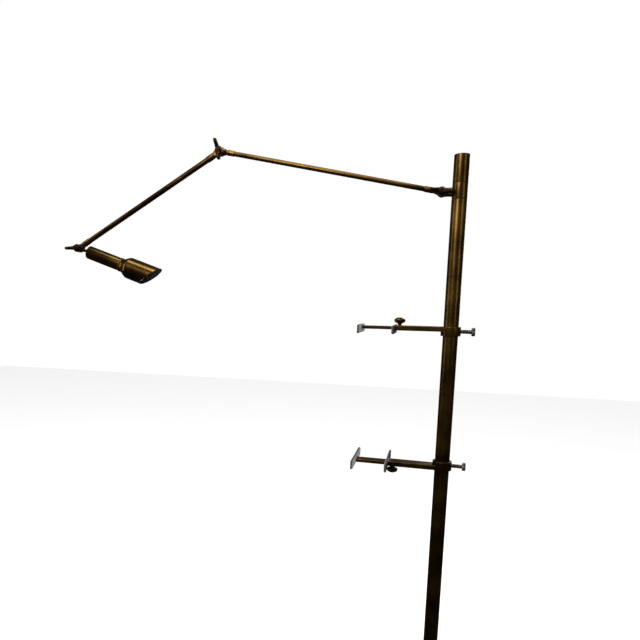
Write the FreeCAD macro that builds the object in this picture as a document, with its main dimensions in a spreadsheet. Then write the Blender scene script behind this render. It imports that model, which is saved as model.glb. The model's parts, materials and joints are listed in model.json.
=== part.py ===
"""Picture lamp on a floor stand: a round weighted base, a pole, a jointed arm that reaches forward and turns
back towards the pole, a slanted reflector head, and two sliding brackets whose jaws hold a picture panel.

Millimetres, +Z up, origin at the centre of the base's underside. Arm and brackets lie in the plane Y = 0 and
point towards -X. Each hinge axis is parallel to Y, with its wing nut on the -Y side.
"""

import FreeCAD
import Part
import math
import os
import Sketcher
from types import SimpleNamespace

SIZES = {
    # overall
    "stand_height": 1800.0,
    "pole_od": 35.0,
    "pole_wall": 1.5,
    # base, from the floor up
    "felt_thickness": 3.0,
    "felt_radius": 164.0,
    "weight_radius": 165.0,
    "weight_thickness": 18.0,
    "cover_radius": 180.0,
    "cover_wall": 1.6,
    "cover_edge_height": 12.0,
    "cover_rise": 14.0,
    "flange_proud": 18.5,
    "flange_height": 16.0,
    "plug_height": 45.0,
    "plug_stud_od": 16.0,
    "nut_radius": 14.0,
    "nut_height": 10.0,
    "nut_recess_radius": 20.0,
    "gland_od": 8.0,
    "gland_bore": 5.4,
    "gland_nose": 12.0,
    "gland_flange_od": 10.4,
    # swivel at the top of the pole
    "ring_height": 35.0,
    "cap_height": 62.4,
    "spindle_od": 22.0,
    "spindle_bore": 8.0,
    "spindle_plug_height": 40.0,
    "cap_plug_height": 20.0,
    "cap_rim_radius": 2.0,
    "swivel_washer_inset": 1.3,
    "swivel_washer_thickness": 1.0,
    # knuckle joints of the arm
    "lug_radius": 11.0,
    "lug_thickness": 11.0,
    "hinge_washer_thickness": 1.0,
    "web_thickness": 6.5,
    "sleeve_start": 20.0,
    "sleeve_end": 40.0,
    "socket_depth": 14.0,
    "sleeve_wall": 0.9,
    "bolt_od": 6.0,
    "bolt_head_radius": 7.0,
    "bolt_head_height": 4.0,
    "wing_hub_radius": 9.0,
    "wing_hub_height": 11.0,
    "wing_radius": 27.0,
    "wing_height": 26.0,
    "wing_thickness": 4.0,
    # arm
    "shoulder_off_pole": 22.5,
    "shoulder_above_ring_foot": 17.3,
    "arm_1_length": 564.3,
    "arm_1_od": 12.0,
    "arm_1_rise": 12.2,
    "arm_2_length": 487.4,
    "arm_2_od": 14.0,
    "arm_2_fall": 29.3,
    "arm_wall": 1.0,
    "lead_od": 5.0,
    "shoulder_wing_turn": 12.0,
    "elbow_wing_turn": 73.0,
    "wrist_wing_turn": 0.0,
    # lamp head, measured along its own axis from the wrist hinge
    "head_fall": 19.0,
    "stem_od": 9.0,
    "head_rear": 34.5,
    "head_tube_od": 36.0,
    "head_tube_length": 104.5,
    "head_wall": 1.3,
    "head_corner": 3.0,
    "neck_ring_length": 5.0,
    "neck_ring_proud": 0.8,
    "neck_spigot_length": 6.0,
    "flare_length": 26.0,
    "nose_radius": 29.0,
    "nose_short_side": 70.0,
    "nose_slant": 45.0,
    "stem_nut_radius": 9.0,
    "stem_nut_height": 6.0,
    "holder_radius": 14.0,
    "holder_length": 36.0,
    "holder_disc_thickness": 3.0,
    "holder_start": 100.0,
    "bulb_cap_od": 14.0,
    "bulb_face_radius": 25.0,
    "bulb_length": 86.0,
    "glass_thickness": 2.0,
    "glass_from_short_edge": 7.0,
    "retainer_height": 2.5,
    "retainer_width": 2.2,
    # brackets
    "upper_bracket_below_top": 403.5,
    "lower_bracket_below_top": 733.2,
    "collar_proud": 5.5,
    "collar_height": 21.8,
    "bush_wall": 2.0,
    "bush_flange_width": 1.4,
    "bush_flange_height": 1.2,
    "bar_height": 12.0,
    "bar_wall": 2.0,
    "upper_bar_width": 26.0,
    "lower_bar_width": 34.0,
    "bar_offset": 5.0,
    "fixed_jaw_reach": 131.5,
    "moving_jaw_reach": 215.0,
    "inner_bar_inside": 32.0,
    "jaw_thickness": 3.0,
    "jaw_height": 20.6,
    "jaw_offset": 1.7,
    "upper_jaw_width": 112.0,
    "lower_jaw_width": 156.0,
    "jaw_corner": 2.5,
    "pad_thickness": 2.5,
    "pad_inset": 1.2,
    "knob_reach": 120.0,
    "knob_radius": 13.5,
    "knob_height": 14.0,
    "knob_neck_od": 9.0,
    "knob_neck_height": 5.0,
    "knob_stud_od": 6.0,
    "thumb_screw_od": 9.7,
    "thumb_screw_length": 27.5,
    "thumb_head_radius": 10.0,
    "thumb_head_length": 8.0,
    # clearances
    "running_clearance": 0.05,
    "fit_clearance": 0.05,
    "slide_clearance": 0.15,
    "body_gap": 0.3,
    "lead_clearance": 0.2,
}

X = FreeCAD.Vector(1, 0, 0)
Y = FreeCAD.Vector(0, 1, 0)
Z = FreeCAD.Vector(0, 0, 1)


class Size:
    """A size from the sheet, or a sum of such sizes: its value and the expression that gives it."""

    def __init__(self, value, text):
        self.value = value
        self.text = text

    def _join(self, sign, other, value):
        return Size(value, f"({self.text} {sign} {size(other).text})")

    def __add__(self, other):
        return self._join("+", other, self.value + size(other).value)

    def __sub__(self, other):
        return self._join("-", other, self.value - size(other).value)

    def __mul__(self, other):
        return self._join("*", other, self.value * size(other).value)

    def __truediv__(self, other):
        return self._join("/", other, self.value / size(other).value)

    def __neg__(self):
        return Size(-self.value, f"(0 - {self.text})")


def size(value):
    """A plain number as a Size; a Size comes back as it is."""
    return value if isinstance(value, Size) else Size(float(value), repr(float(value)))


doc = FreeCAD.newDocument("PictureLamp")


def make_sheet():
    """The sheet of driving dimensions, and one Size for each of its cells."""
    sheet = doc.addObject("Spreadsheet::Sheet", "Sizes")
    for row, (alias, value) in enumerate(SIZES.items(), start=1):
        sheet.set(f"A{row}", alias)
        sheet.set(f"B{row}", str(value))
        sheet.setAlias(f"B{row}", alias)
    doc.recompute()
    return SimpleNamespace(**{alias: Size(value, f"Sizes.{alias}") for alias, value in SIZES.items()})


D = make_sheet()
parts = []


# ---------------------------------------------------------------- building blocks


def new_body(label):
    body = doc.addObject("PartDesign::Body", label)
    body.Label = label
    parts.append(body)
    return body


def sketch_on(body, role, offset=0):
    """A sketch on one of the body's own origin planes, moved along that plane's normal by offset."""
    plane = next(item for item in body.Origin.OriginFeatures if item.Role == role)
    sketch = body.newObject("Sketcher::SketchObject", f"{body.Name}_sketch")
    sketch.AttachmentSupport = [(plane, "")]
    sketch.MapMode = "FlatFace"
    sketch.setExpression("AttachmentOffset.Base.z", size(offset).text)
    return sketch


def tie(sketch, kind, geometry, end, value):
    """Hold one end of a line, or a circle's centre, at a distance from the sketch's origin."""
    value = size(value)
    if abs(value.value) < 1e-9:
        axis = -2 if kind == "DistanceX" else -1
        sketch.addConstraint(Sketcher.Constraint("PointOnObject", geometry, end, axis))
        return
    if value.value > 0:
        ends = (-1, 1, geometry, end)
        text = value.text
    else:
        ends = (geometry, end, -1, 1)
        text = (-value).text
    index = sketch.addConstraint(Sketcher.Constraint(kind, *ends, abs(value.value)))
    sketch.setExpression(f"Constraints[{index}]", text)


def draw_outline(sketch, corners):
    """A closed outline of straight lines; each corner is a pair of sizes."""
    first = sketch.GeometryCount
    count = len(corners)
    places = [FreeCAD.Vector(size(x).value, size(y).value, 0) for x, y in corners]
    for k in range(count):
        sketch.addGeometry(Part.LineSegment(places[k], places[(k + 1) % count]), False)
    for k in range(count):
        after = first + (k + 1) % count
        sketch.addConstraint(Sketcher.Constraint("Coincident", first + k, 2, after, 1))
    for k, (x, y) in enumerate(corners):
        tie(sketch, "DistanceX", first + k, 1, x)
        tie(sketch, "DistanceY", first + k, 1, y)


def draw_circle(sketch, radius, x=0, y=0):
    radius = size(radius)
    centre = FreeCAD.Vector(size(x).value, size(y).value, 0)
    circle = sketch.addGeometry(Part.Circle(centre, Z, radius.value), False)
    index = sketch.addConstraint(Sketcher.Constraint("Radius", circle, radius.value))
    sketch.setExpression(f"Constraints[{index}]", radius.text)
    tie(sketch, "DistanceX", circle, 3, x)
    tie(sketch, "DistanceY", circle, 3, y)


def draw_box(sketch, width, height, x=0, y=0):
    """A rectangle of the given width and height round the point x, y."""
    x, y, half_width, half_height = size(x), size(y), size(width) / 2, size(height) / 2
    left, right = x - half_width, x + half_width
    low, high = y - half_height, y + half_height
    draw_outline(sketch, [(left, low), (right, low), (right, high), (left, high)])


def add_feature(body, kind, sketch, length, reverse=False):
    """A Pad or a Pocket that goes along the sketch's normal, or against it when reversed."""
    feature = body.newObject(f"PartDesign::{kind}", f"{body.Name}_{kind.lower()}")
    feature.Profile = sketch
    feature.Reversed = reverse if kind == "Pad" else not reverse
    feature.setExpression("Length", size(length).text)
    doc.recompute()
    return feature


def pad(body, sketch, length, reverse=False):
    return add_feature(body, "Pad", sketch, length, reverse)


def pocket(body, sketch, length, reverse=False):
    before = body.Shape.Volume
    feature = add_feature(body, "Pocket", sketch, length, reverse)
    if body.Shape.Volume >= before:
        raise RuntimeError(f"{body.Label}: a pocket cut nothing")
    return feature


def turned(label, corners):
    """A body turned about its own Z axis; each corner is a radius and a height."""
    body = new_body(label)
    sketch = sketch_on(body, "XZ_Plane")
    draw_outline(sketch, corners)
    feature = body.newObject("PartDesign::Revolution", f"{body.Name}_turn")
    feature.Profile = sketch
    feature.ReferenceAxis = (sketch, ["V_Axis"])
    feature.Angle = 360.0
    doc.recompute()
    return body


def tube(label, outer, inner, start, end):
    """A straight tube, ring or washer about the body's own Z axis."""
    return turned(label, [(inner, start), (outer, start), (outer, end), (inner, end)])


def rod(label, radius, start, end):
    return turned(label, [(0, start), (radius, start), (radius, end), (0, end)])


def soften(body, radius, wanted, kind="Fillet"):
    """Round or chamfer those edges of a body that the test picks."""
    tip = body.Tip
    names = [f"Edge{k}" for k, edge in enumerate(tip.Shape.Edges, start=1) if wanted(edge)]
    if not names:
        raise RuntimeError(f"{body.Label}: no edge to soften")
    feature = body.newObject(f"PartDesign::{kind}", f"{body.Name}_{kind.lower()}")
    feature.Base = (tip, names)
    feature.setExpression("Radius" if kind == "Fillet" else "Size", size(radius).text)
    doc.recompute()


def is_circle(edge, radius, **place):
    """Whether an edge is a whole circle of this radius, with its centre at the given x, y or z."""
    if not isinstance(edge.Curve, Part.Circle) or abs(edge.Curve.Radius - radius.value) > 1e-6:
        return False
    centre = edge.Curve.Center
    return all(abs(getattr(centre, axis) - size(want).value) < 1e-6 for axis, want in place.items())


def stand_at(body, x=0.0, z=0.0, turn_axis=Y, turn=0.0, y=0.0):
    body.Placement = FreeCAD.Placement(FreeCAD.Vector(x, y, z), FreeCAD.Rotation(turn_axis, turn))


def make_group(label, bodies):
    """Equal loose pieces that share one file."""
    group = doc.addObject("Part::Compound", label)
    group.Label = label
    group.Links = bodies
    for body in bodies:
        parts.remove(body)
    parts.append(group)
    doc.recompute()


# ---------------------------------------------------------------- heights and places

weight_foot = D.felt_thickness
weight_top = weight_foot + D.weight_thickness
cover_shoulder = D.cover_edge_height
cover_inside_top = weight_top + D.cover_rise
cover_top = cover_inside_top + D.cover_wall
flange_top = cover_top + D.flange_height
pole_foot = weight_top + D.body_gap
cap_foot = D.stand_height - D.cap_height
upper_washer_foot = cap_foot - D.swivel_washer_thickness
ring_top = upper_washer_foot - D.body_gap
ring_foot = ring_top - D.ring_height
lower_washer_top = ring_foot - D.body_gap
pole_top = lower_washer_top - D.swivel_washer_thickness
pole_radius = D.pole_od / 2
flange_radius = pole_radius + D.flange_proud
shoulder_reach = pole_radius + D.shoulder_off_pole
pole_bore = pole_radius - D.pole_wall

shoulder = FreeCAD.Vector(-shoulder_reach.value, 0, (ring_foot + D.shoulder_above_ring_foot).value)
arm_1_turn = 180.0 + D.arm_1_rise.value
arm_2_turn = 180.0 - D.arm_2_fall.value
head_turn = D.head_fall.value


def along(start, length, turn):
    """The point at a distance from start, along the X axis turned about Y by that many degrees."""
    angle = math.radians(turn)
    return start + FreeCAD.Vector(math.cos(angle), 0, -math.sin(angle)) * length


elbow = along(shoulder, D.arm_1_length.value, arm_1_turn)
wrist = along(elbow, D.arm_2_length.value, arm_2_turn)

# ---------------------------------------------------------------- base


def make_base():
    """Felt, cast weight, spun cover, pole flange, and the plug and nut that clamp them together."""
    rod("base_felt", D.felt_radius, 0, weight_foot)
    stud = D.plug_stud_od / 2
    recess_top = weight_foot + D.nut_height + D.body_gap * 2
    weight = turned("base_weight", [
        (D.nut_recess_radius, weight_foot),
        (D.weight_radius, weight_foot),
        (D.weight_radius, weight_top),
        (stud + D.fit_clearance, weight_top),
        (stud + D.fit_clearance, recess_top),
        (D.nut_recess_radius, recess_top),
    ])
    soften(weight, 3, lambda edge: is_circle(edge, D.weight_radius, z=weight_top))
    foot = turned("base_nut", [
        (stud + D.fit_clearance, recess_top - D.nut_height),
        (D.nut_radius, recess_top - D.nut_height),
        (D.nut_radius, recess_top),
        (stud + D.fit_clearance, recess_top),
    ])
    for k in range(3):
        cut_flats(foot, D.nut_radius, k * 60, recess_top - D.nut_height, D.nut_height)

    plug_bore = D.lead_od / 2 + D.lead_clearance
    turned("foot_plug", [
        (plug_bore, weight_foot + D.body_gap),
        (stud, weight_foot + D.body_gap),
        (stud, weight_top),
        (pole_bore - D.fit_clearance, weight_top),
        (pole_bore - D.fit_clearance, weight_top + D.plug_height),
        (plug_bore, weight_top + D.plug_height),
    ])

    outer, wall = D.cover_radius, D.cover_wall
    collar = pole_radius + D.fit_clearance
    cover = turned("base_cover", [
        (outer - wall, weight_foot / 3),
        (outer, weight_foot / 3),
        (outer, cover_shoulder),
        (outer - 3, cover_shoulder + 5),
        (outer - 12, weight_top + wall + D.body_gap),
        (flange_radius * 2, weight_top + wall + D.cover_rise / 3),
        (flange_radius, cover_top),
        (collar, cover_top),
        (collar, cover_inside_top),
        (flange_radius, cover_inside_top),
        (flange_radius * 2, weight_top + D.cover_rise / 3),
        (outer - 13, weight_top + D.body_gap),
        (outer - 3 - wall, cover_shoulder + 4),
        (outer - wall, cover_shoulder),
    ])
    gland_hole = sketch_on(cover, "XZ_Plane", -(outer + 1))
    draw_circle(gland_hole, D.gland_od / 2, y=gland_height())
    pocket(cover, gland_hole, wall + 2)

    turned("pole_flange", [
        (collar, cover_top),
        (flange_radius - 4, cover_top),
        (flange_radius - 4, cover_top + 4),
        (flange_radius - 7, cover_top + 7),
        (pole_radius + 5, flange_top - 2),
        (pole_radius + 3, flange_top),
        (collar, flange_top),
    ])


def cut_flats(body, radius, turn, foot, height):
    """Two opposite flats of a hexagon whose corners lie on the given radius."""
    flat = radius * math.cos(math.radians(30))
    sketch = sketch_on(body, "XY_Plane", foot)
    sketch.AttachmentOffset = FreeCAD.Placement(FreeCAD.Vector(0, 0, foot.value), FreeCAD.Rotation(Z, turn))
    for side in (1, -1):
        draw_box(sketch, radius, radius * 4, x=(flat + radius / 2) * side)
    pocket(body, sketch, height)


def gland_height():
    return (weight_foot / 3 + D.cover_edge_height) / 2


def make_gland():
    """The lead's gland, through the back of the base cover's edge."""
    bore = D.gland_bore / 2
    body, flange = D.gland_od / 2, D.gland_flange_od / 2
    outer = D.cover_radius
    gland = turned("cable_gland", [
        (bore, D.weight_radius + D.body_gap),
        (body - D.fit_clearance, D.weight_radius + D.body_gap),
        (body - D.fit_clearance, outer),
        (flange, outer),
        (flange, outer + 2.5),
        (body, outer + 2.5),
        (body * 0.85, outer + D.gland_nose),
        (bore, outer + D.gland_nose),
    ])
    stand_at(gland, turn_axis=X, turn=-90, z=gland_height().value)


# ---------------------------------------------------------------- pole and swivel


def make_pole():
    """The pole, the spindle fixed in its top, and the cap and plug that close the swivel."""
    tube("pole_tube", pole_radius, pole_bore, pole_foot, pole_top)
    bore = D.spindle_bore / 2
    neck = D.spindle_od / 2
    plug = pole_bore - D.fit_clearance
    cap_bore = pole_bore
    spindle_top = cap_foot + D.cap_plug_height + 4
    turned("swivel_spindle", [
        (bore, pole_top - D.spindle_plug_height),
        (plug, pole_top - D.spindle_plug_height),
        (plug, pole_top),
        (neck, pole_top),
        (neck, spindle_top),
        (bore, spindle_top),
    ])
    tube("cap_plug", cap_bore - D.fit_clearance, neck + D.fit_clearance, cap_foot, cap_foot + D.cap_plug_height)
    cap = turned("top_cap", [
        (cap_bore, cap_foot),
        (pole_radius, cap_foot),
        (pole_radius, D.stand_height),
        (0, D.stand_height),
        (0, D.stand_height - D.pole_wall),
        (cap_bore, D.stand_height - D.pole_wall),
    ])
    soften(cap, D.cap_rim_radius * 0.6, lambda edge: is_circle(edge, pole_radius, z=D.stand_height))
    washers = []
    for name, foot in (("lower_washer", pole_top), ("upper_washer", upper_washer_foot)):
        top = foot + D.swivel_washer_thickness
        washers.append(tube(name, pole_radius - D.swivel_washer_inset, neck + D.fit_clearance, foot, top))
    make_group("swivel_washers", washers)


def make_swivel_ring():
    """The ring that turns on the spindle, with the shoulder's fixed lug."""
    ring = tube("swivel_ring", pole_radius, D.spindle_od / 2 + D.running_clearance, ring_foot, ring_top)
    sketch = sketch_on(ring, "XZ_Plane", -(D.hinge_washer_thickness / 2))
    height = ring_foot + D.shoulder_above_ring_foot
    root = (D.spindle_od / 2 + pole_radius) / 2
    draw_outline(sketch, [
        (-shoulder_reach, height - D.lug_radius * 0.97),
        (-root, height - D.lug_radius * 0.97),
        (-root, height + D.lug_radius * 0.97),
        (-shoulder_reach, height + D.lug_radius * 0.97),
    ])
    pad(ring, sketch, D.lug_thickness * 0.72, reverse=True)
    add_lug_disc(ring, far=True, x=-shoulder_reach, z=height)


# ---------------------------------------------------------------- knuckle joints


def lug_face(far):
    """How far a lug's inner face lies from the plane Y = 0, along the sketch's normal, which is -Y."""
    half = D.hinge_washer_thickness / 2
    return -half if far else half + D.body_gap


def add_lug_disc(body, far, x=0, z=0):
    """The round half of a knuckle, with its bolt hole."""
    sketch = sketch_on(body, "XZ_Plane", lug_face(far))
    draw_circle(sketch, D.lug_radius, x, z)
    pad(body, sketch, D.lug_thickness, reverse=far)
    hole = sketch_on(body, "XZ_Plane", lug_face(far))
    draw_circle(hole, D.bolt_od / 2 + D.running_clearance, x, z)
    pocket(body, hole, D.lug_thickness + 1, reverse=far)


def add_web(body, far, half_height, end):
    """The bar that joins a lug's disc to its sleeve or stem, beside the opposite lug."""
    sketch = sketch_on(body, "XZ_Plane", lug_face(far))
    wide = D.lug_radius * 0.9
    draw_outline(sketch, [
        (D.lug_radius * 0.3, -wide),
        (D.lug_radius * 0.8, -wide * 0.95),
        (end, -half_height),
        (end, half_height),
        (D.lug_radius * 0.8, wide * 0.95),
        (D.lug_radius * 0.3, wide),
    ])
    pad(body, sketch, D.web_thickness, reverse=far)


def make_arm_lug(label, tube_od, far, place, turn):
    """One end fitting of an arm tube: half a knuckle and the sleeve that holds the tube."""
    body = new_body(label)
    outer = tube_od / 2 + D.sleeve_wall
    sleeve = sketch_on(body, "YZ_Plane", D.sleeve_start)
    draw_circle(sleeve, outer)
    pad(body, sleeve, D.sleeve_end - D.sleeve_start)
    socket_start = D.sleeve_end - D.socket_depth
    socket = sketch_on(body, "YZ_Plane", socket_start)
    draw_circle(socket, tube_od / 2 + D.fit_clearance)
    pocket(body, socket, D.socket_depth + 1)
    passage = sketch_on(body, "YZ_Plane", D.sleeve_start)
    draw_circle(passage, D.lead_od / 2 + D.lead_clearance)
    pocket(body, passage, socket_start - D.sleeve_start)
    add_web(body, far, outer - 0.4, D.sleeve_start + 0.6)
    add_lug_disc(body, far)
    stand_at(body, place.x, place.z, Y, turn)
    return body


def make_arm(number, start, end, turn, length, tube_od):
    """An arm tube with a knuckle half at each end and its lead inside."""
    make_arm_lug(f"arm_{number}_inner_lug", tube_od, False, start, turn)
    make_arm_lug(f"arm_{number}_outer_lug", tube_od, True, end, turn + 180)
    socket_start = D.sleeve_end - D.socket_depth
    outer = tube_od / 2
    arm = tube(f"arm_{number}_tube", outer, outer - D.arm_wall, socket_start, length - socket_start)
    inset = D.sleeve_start + 1
    lead = rod(f"arm_{number}_lead", D.lead_od / 2, inset, length - inset)
    for body in (arm, lead):
        body.Placement = FreeCAD.Placement(start, FreeCAD.Rotation(Y, turn + 90))


def make_hinge(name, place, wing_turn):
    """The bolt, the friction washer and the wing nut of one knuckle; the wing nut is on the -Y side."""
    bolt = D.bolt_od / 2
    half_washer = D.hinge_washer_thickness / 2
    far_face = half_washer + D.lug_thickness
    near_face = half_washer + D.body_gap + D.lug_thickness
    nut_foot = near_face + D.body_gap
    body = turned(f"{name}_bolt", [
        (0, -nut_foot - D.wing_hub_height - 2),
        (bolt, -nut_foot - D.wing_hub_height - 2),
        (bolt, far_face),
        (D.bolt_head_radius, far_face),
        (D.bolt_head_radius, far_face + D.bolt_head_height / 2),
        (D.bolt_head_radius * 0.6, far_face + D.bolt_head_height),
        (0, far_face + D.bolt_head_height),
    ])
    stand_at(body, place.x, place.z, X, -90)
    washer = tube(f"{name}_washer", D.lug_radius - 0.5, bolt + D.running_clearance, -half_washer, half_washer)
    stand_at(washer, place.x, place.z, X, -90)

    nut = new_body(f"{name}_wing_nut")
    wings = sketch_on(nut, "XZ_Plane", -(D.wing_thickness / 2))
    hub, reach, height = D.wing_hub_radius, D.wing_radius, D.wing_height
    right = [
        (hub * 0.5, 2),
        (hub, 2.5),
        (reach * 0.62, height * 0.34),
        (reach * 0.95, height * 0.68),
        (reach, height * 0.86),
        (reach * 0.9, height),
        (reach * 0.66, height * 0.94),
        (reach * 0.4, height * 0.58),
        (hub * 0.5, height * 0.4),
    ]
    left = [(-size(x), z) for x, z in reversed(right)]
    draw_outline(wings, right + left)
    pad(nut, wings, D.wing_thickness)
    profile = sketch_on(nut, "XZ_Plane")
    draw_outline(profile, [
        (0, 0),
        (hub, 0),
        (hub, 2.5),
        (hub * 0.72, D.wing_hub_height),
        (0, D.wing_hub_height),
    ])
    boss = nut.newObject("PartDesign::Revolution", f"{nut.Name}_boss")
    boss.Profile = profile
    boss.ReferenceAxis = (profile, ["V_Axis"])
    boss.Angle = 360.0
    doc.recompute()
    bore = sketch_on(nut, "XY_Plane")
    draw_circle(bore, bolt + D.running_clearance)
    pocket(nut, bore, D.wing_height + 1)
    upright = FreeCAD.Rotation(X, 90)
    spin = FreeCAD.Rotation(Y, wing_turn)
    nut.Placement = FreeCAD.Placement(FreeCAD.Vector(place.x, -nut_foot.value, place.z), spin * upright)


# ---------------------------------------------------------------- lamp head


def set_on_head(body):
    """Put a body that was turned about Z on the head's axis, with its Z pointing away from the wrist."""
    body.Placement = FreeCAD.Placement(wrist, FreeCAD.Rotation(Y, head_turn + 90))


def make_head_shells():
    """Lug and stem, rear tube, neck ring and the flared nose with its slanted mouth."""
    lug = new_body("head_lug")
    stem = sketch_on(lug, "YZ_Plane", D.sleeve_start - 4)
    draw_circle(stem, D.stem_od / 2)
    stem_end = D.head_rear + D.head_wall + D.stem_nut_height + 2
    pad(lug, stem, stem_end - (D.sleeve_start - 4))
    add_web(lug, False, D.stem_od / 2, D.sleeve_start)
    add_lug_disc(lug, False)
    stand_at(lug, wrist.x, wrist.z, Y, head_turn)

    tube_radius, wall = D.head_tube_od / 2, D.head_wall
    tube_end = D.head_rear + D.head_tube_length
    stem_hole = D.stem_od / 2 + D.fit_clearance
    shell = turned("head_tube", [
        (stem_hole, D.head_rear),
        (tube_radius, D.head_rear),
        (tube_radius, tube_end),
        (tube_radius - wall, tube_end),
        (tube_radius - wall, D.head_rear + wall),
        (stem_hole, D.head_rear + wall),
    ])
    soften(shell, D.head_corner * 0.4, lambda edge: is_circle(edge, tube_radius, z=D.head_rear))
    set_on_head(shell)
    nut_foot = D.head_rear + wall
    set_on_head(tube("stem_nut", D.stem_nut_radius, stem_hole, nut_foot, nut_foot + D.stem_nut_height))

    nose_foot = tube_end + D.neck_ring_length
    spigot = tube_radius - wall - D.fit_clearance
    ring_radius = tube_radius + D.neck_ring_proud
    set_on_head(turned("neck_ring", [
        (spigot - wall, tube_end - D.neck_spigot_length),
        (spigot, tube_end - D.neck_spigot_length),
        (spigot, tube_end),
        (ring_radius, tube_end),
        (ring_radius, nose_foot),
        (spigot, nose_foot),
        (spigot, nose_foot + D.neck_spigot_length),
        (spigot - wall, nose_foot + D.neck_spigot_length),
    ]))

    nose_radius = D.nose_radius
    flare = D.flare_length
    widen = nose_radius - tube_radius
    long_side = nose_foot + D.nose_short_side + D.nose_slant
    curve = ((0.3, 0.14), (0.55, 0.5), (0.8, 0.86), (1.0, 1.0))
    outside = [(tube_radius + widen * up, nose_foot + flare * out) for out, up in curve]
    inside = [(tube_radius - wall + widen * up, nose_foot + flare * out) for out, up in curve]
    mouth = [(nose_radius, long_side), (nose_radius - wall, long_side)]
    foot = [(tube_radius - wall, nose_foot), (tube_radius, nose_foot)]
    nose = turned("nose_shell", foot + outside + mouth + inside[::-1])
    slant = sketch_on(nose, "XZ_Plane", -(nose_radius * 1.5))
    draw_outline(slant, [
        (nose_radius, nose_foot + D.nose_short_side),
        (nose_radius * 3, nose_foot + D.nose_short_side - D.nose_slant),
        (nose_radius * 3, long_side + D.nose_slant),
        (-(nose_radius * 2), long_side + D.nose_slant * 1.5),
        (-nose_radius, long_side),
    ])
    pocket(nose, slant, nose_radius * 3)
    set_on_head(nose)
    return nose_foot


def make_head_inside(nose_foot):
    """Lampholder, its disc, the reflector bulb, and the glass with its retaining ring."""
    shell_bore = D.head_tube_od / 2 - D.head_wall - D.slide_clearance
    disc_top = D.holder_start + D.holder_disc_thickness
    cap = D.bulb_cap_od / 2
    socket_foot = disc_top + 6
    holder_top = D.holder_start + D.holder_length
    set_on_head(turned("lampholder", [
        (0, D.holder_start),
        (shell_bore, D.holder_start),
        (shell_bore, disc_top),
        (D.holder_radius, disc_top),
        (D.holder_radius, holder_top),
        (cap + D.slide_clearance, holder_top),
        (cap + D.slide_clearance, socket_foot),
        (0, socket_foot),
    ]))
    face = D.bulb_face_radius
    foot = socket_foot + D.slide_clearance
    length = D.bulb_length
    set_on_head(turned("reflector_bulb", [
        (0, foot),
        (cap, foot + 2),
        (cap, foot + length * 0.36),
        (face * 0.7, foot + length * 0.58),
        (face * 0.94, foot + length * 0.74),
        (face, foot + length * 0.86),
        (face * 0.92, foot + length * 0.96),
        (face * 0.55, foot + length),
        (0, foot + length),
    ]))
    inside = D.nose_radius - D.head_wall - D.fit_clearance
    glass_top = nose_foot + D.nose_short_side - D.glass_from_short_edge
    set_on_head(rod("front_glass", inside, glass_top - D.glass_thickness, glass_top))
    set_on_head(tube("glass_retainer", inside, inside - D.retainer_width, glass_top, glass_top + D.retainer_height))


# ---------------------------------------------------------------- brackets


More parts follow.
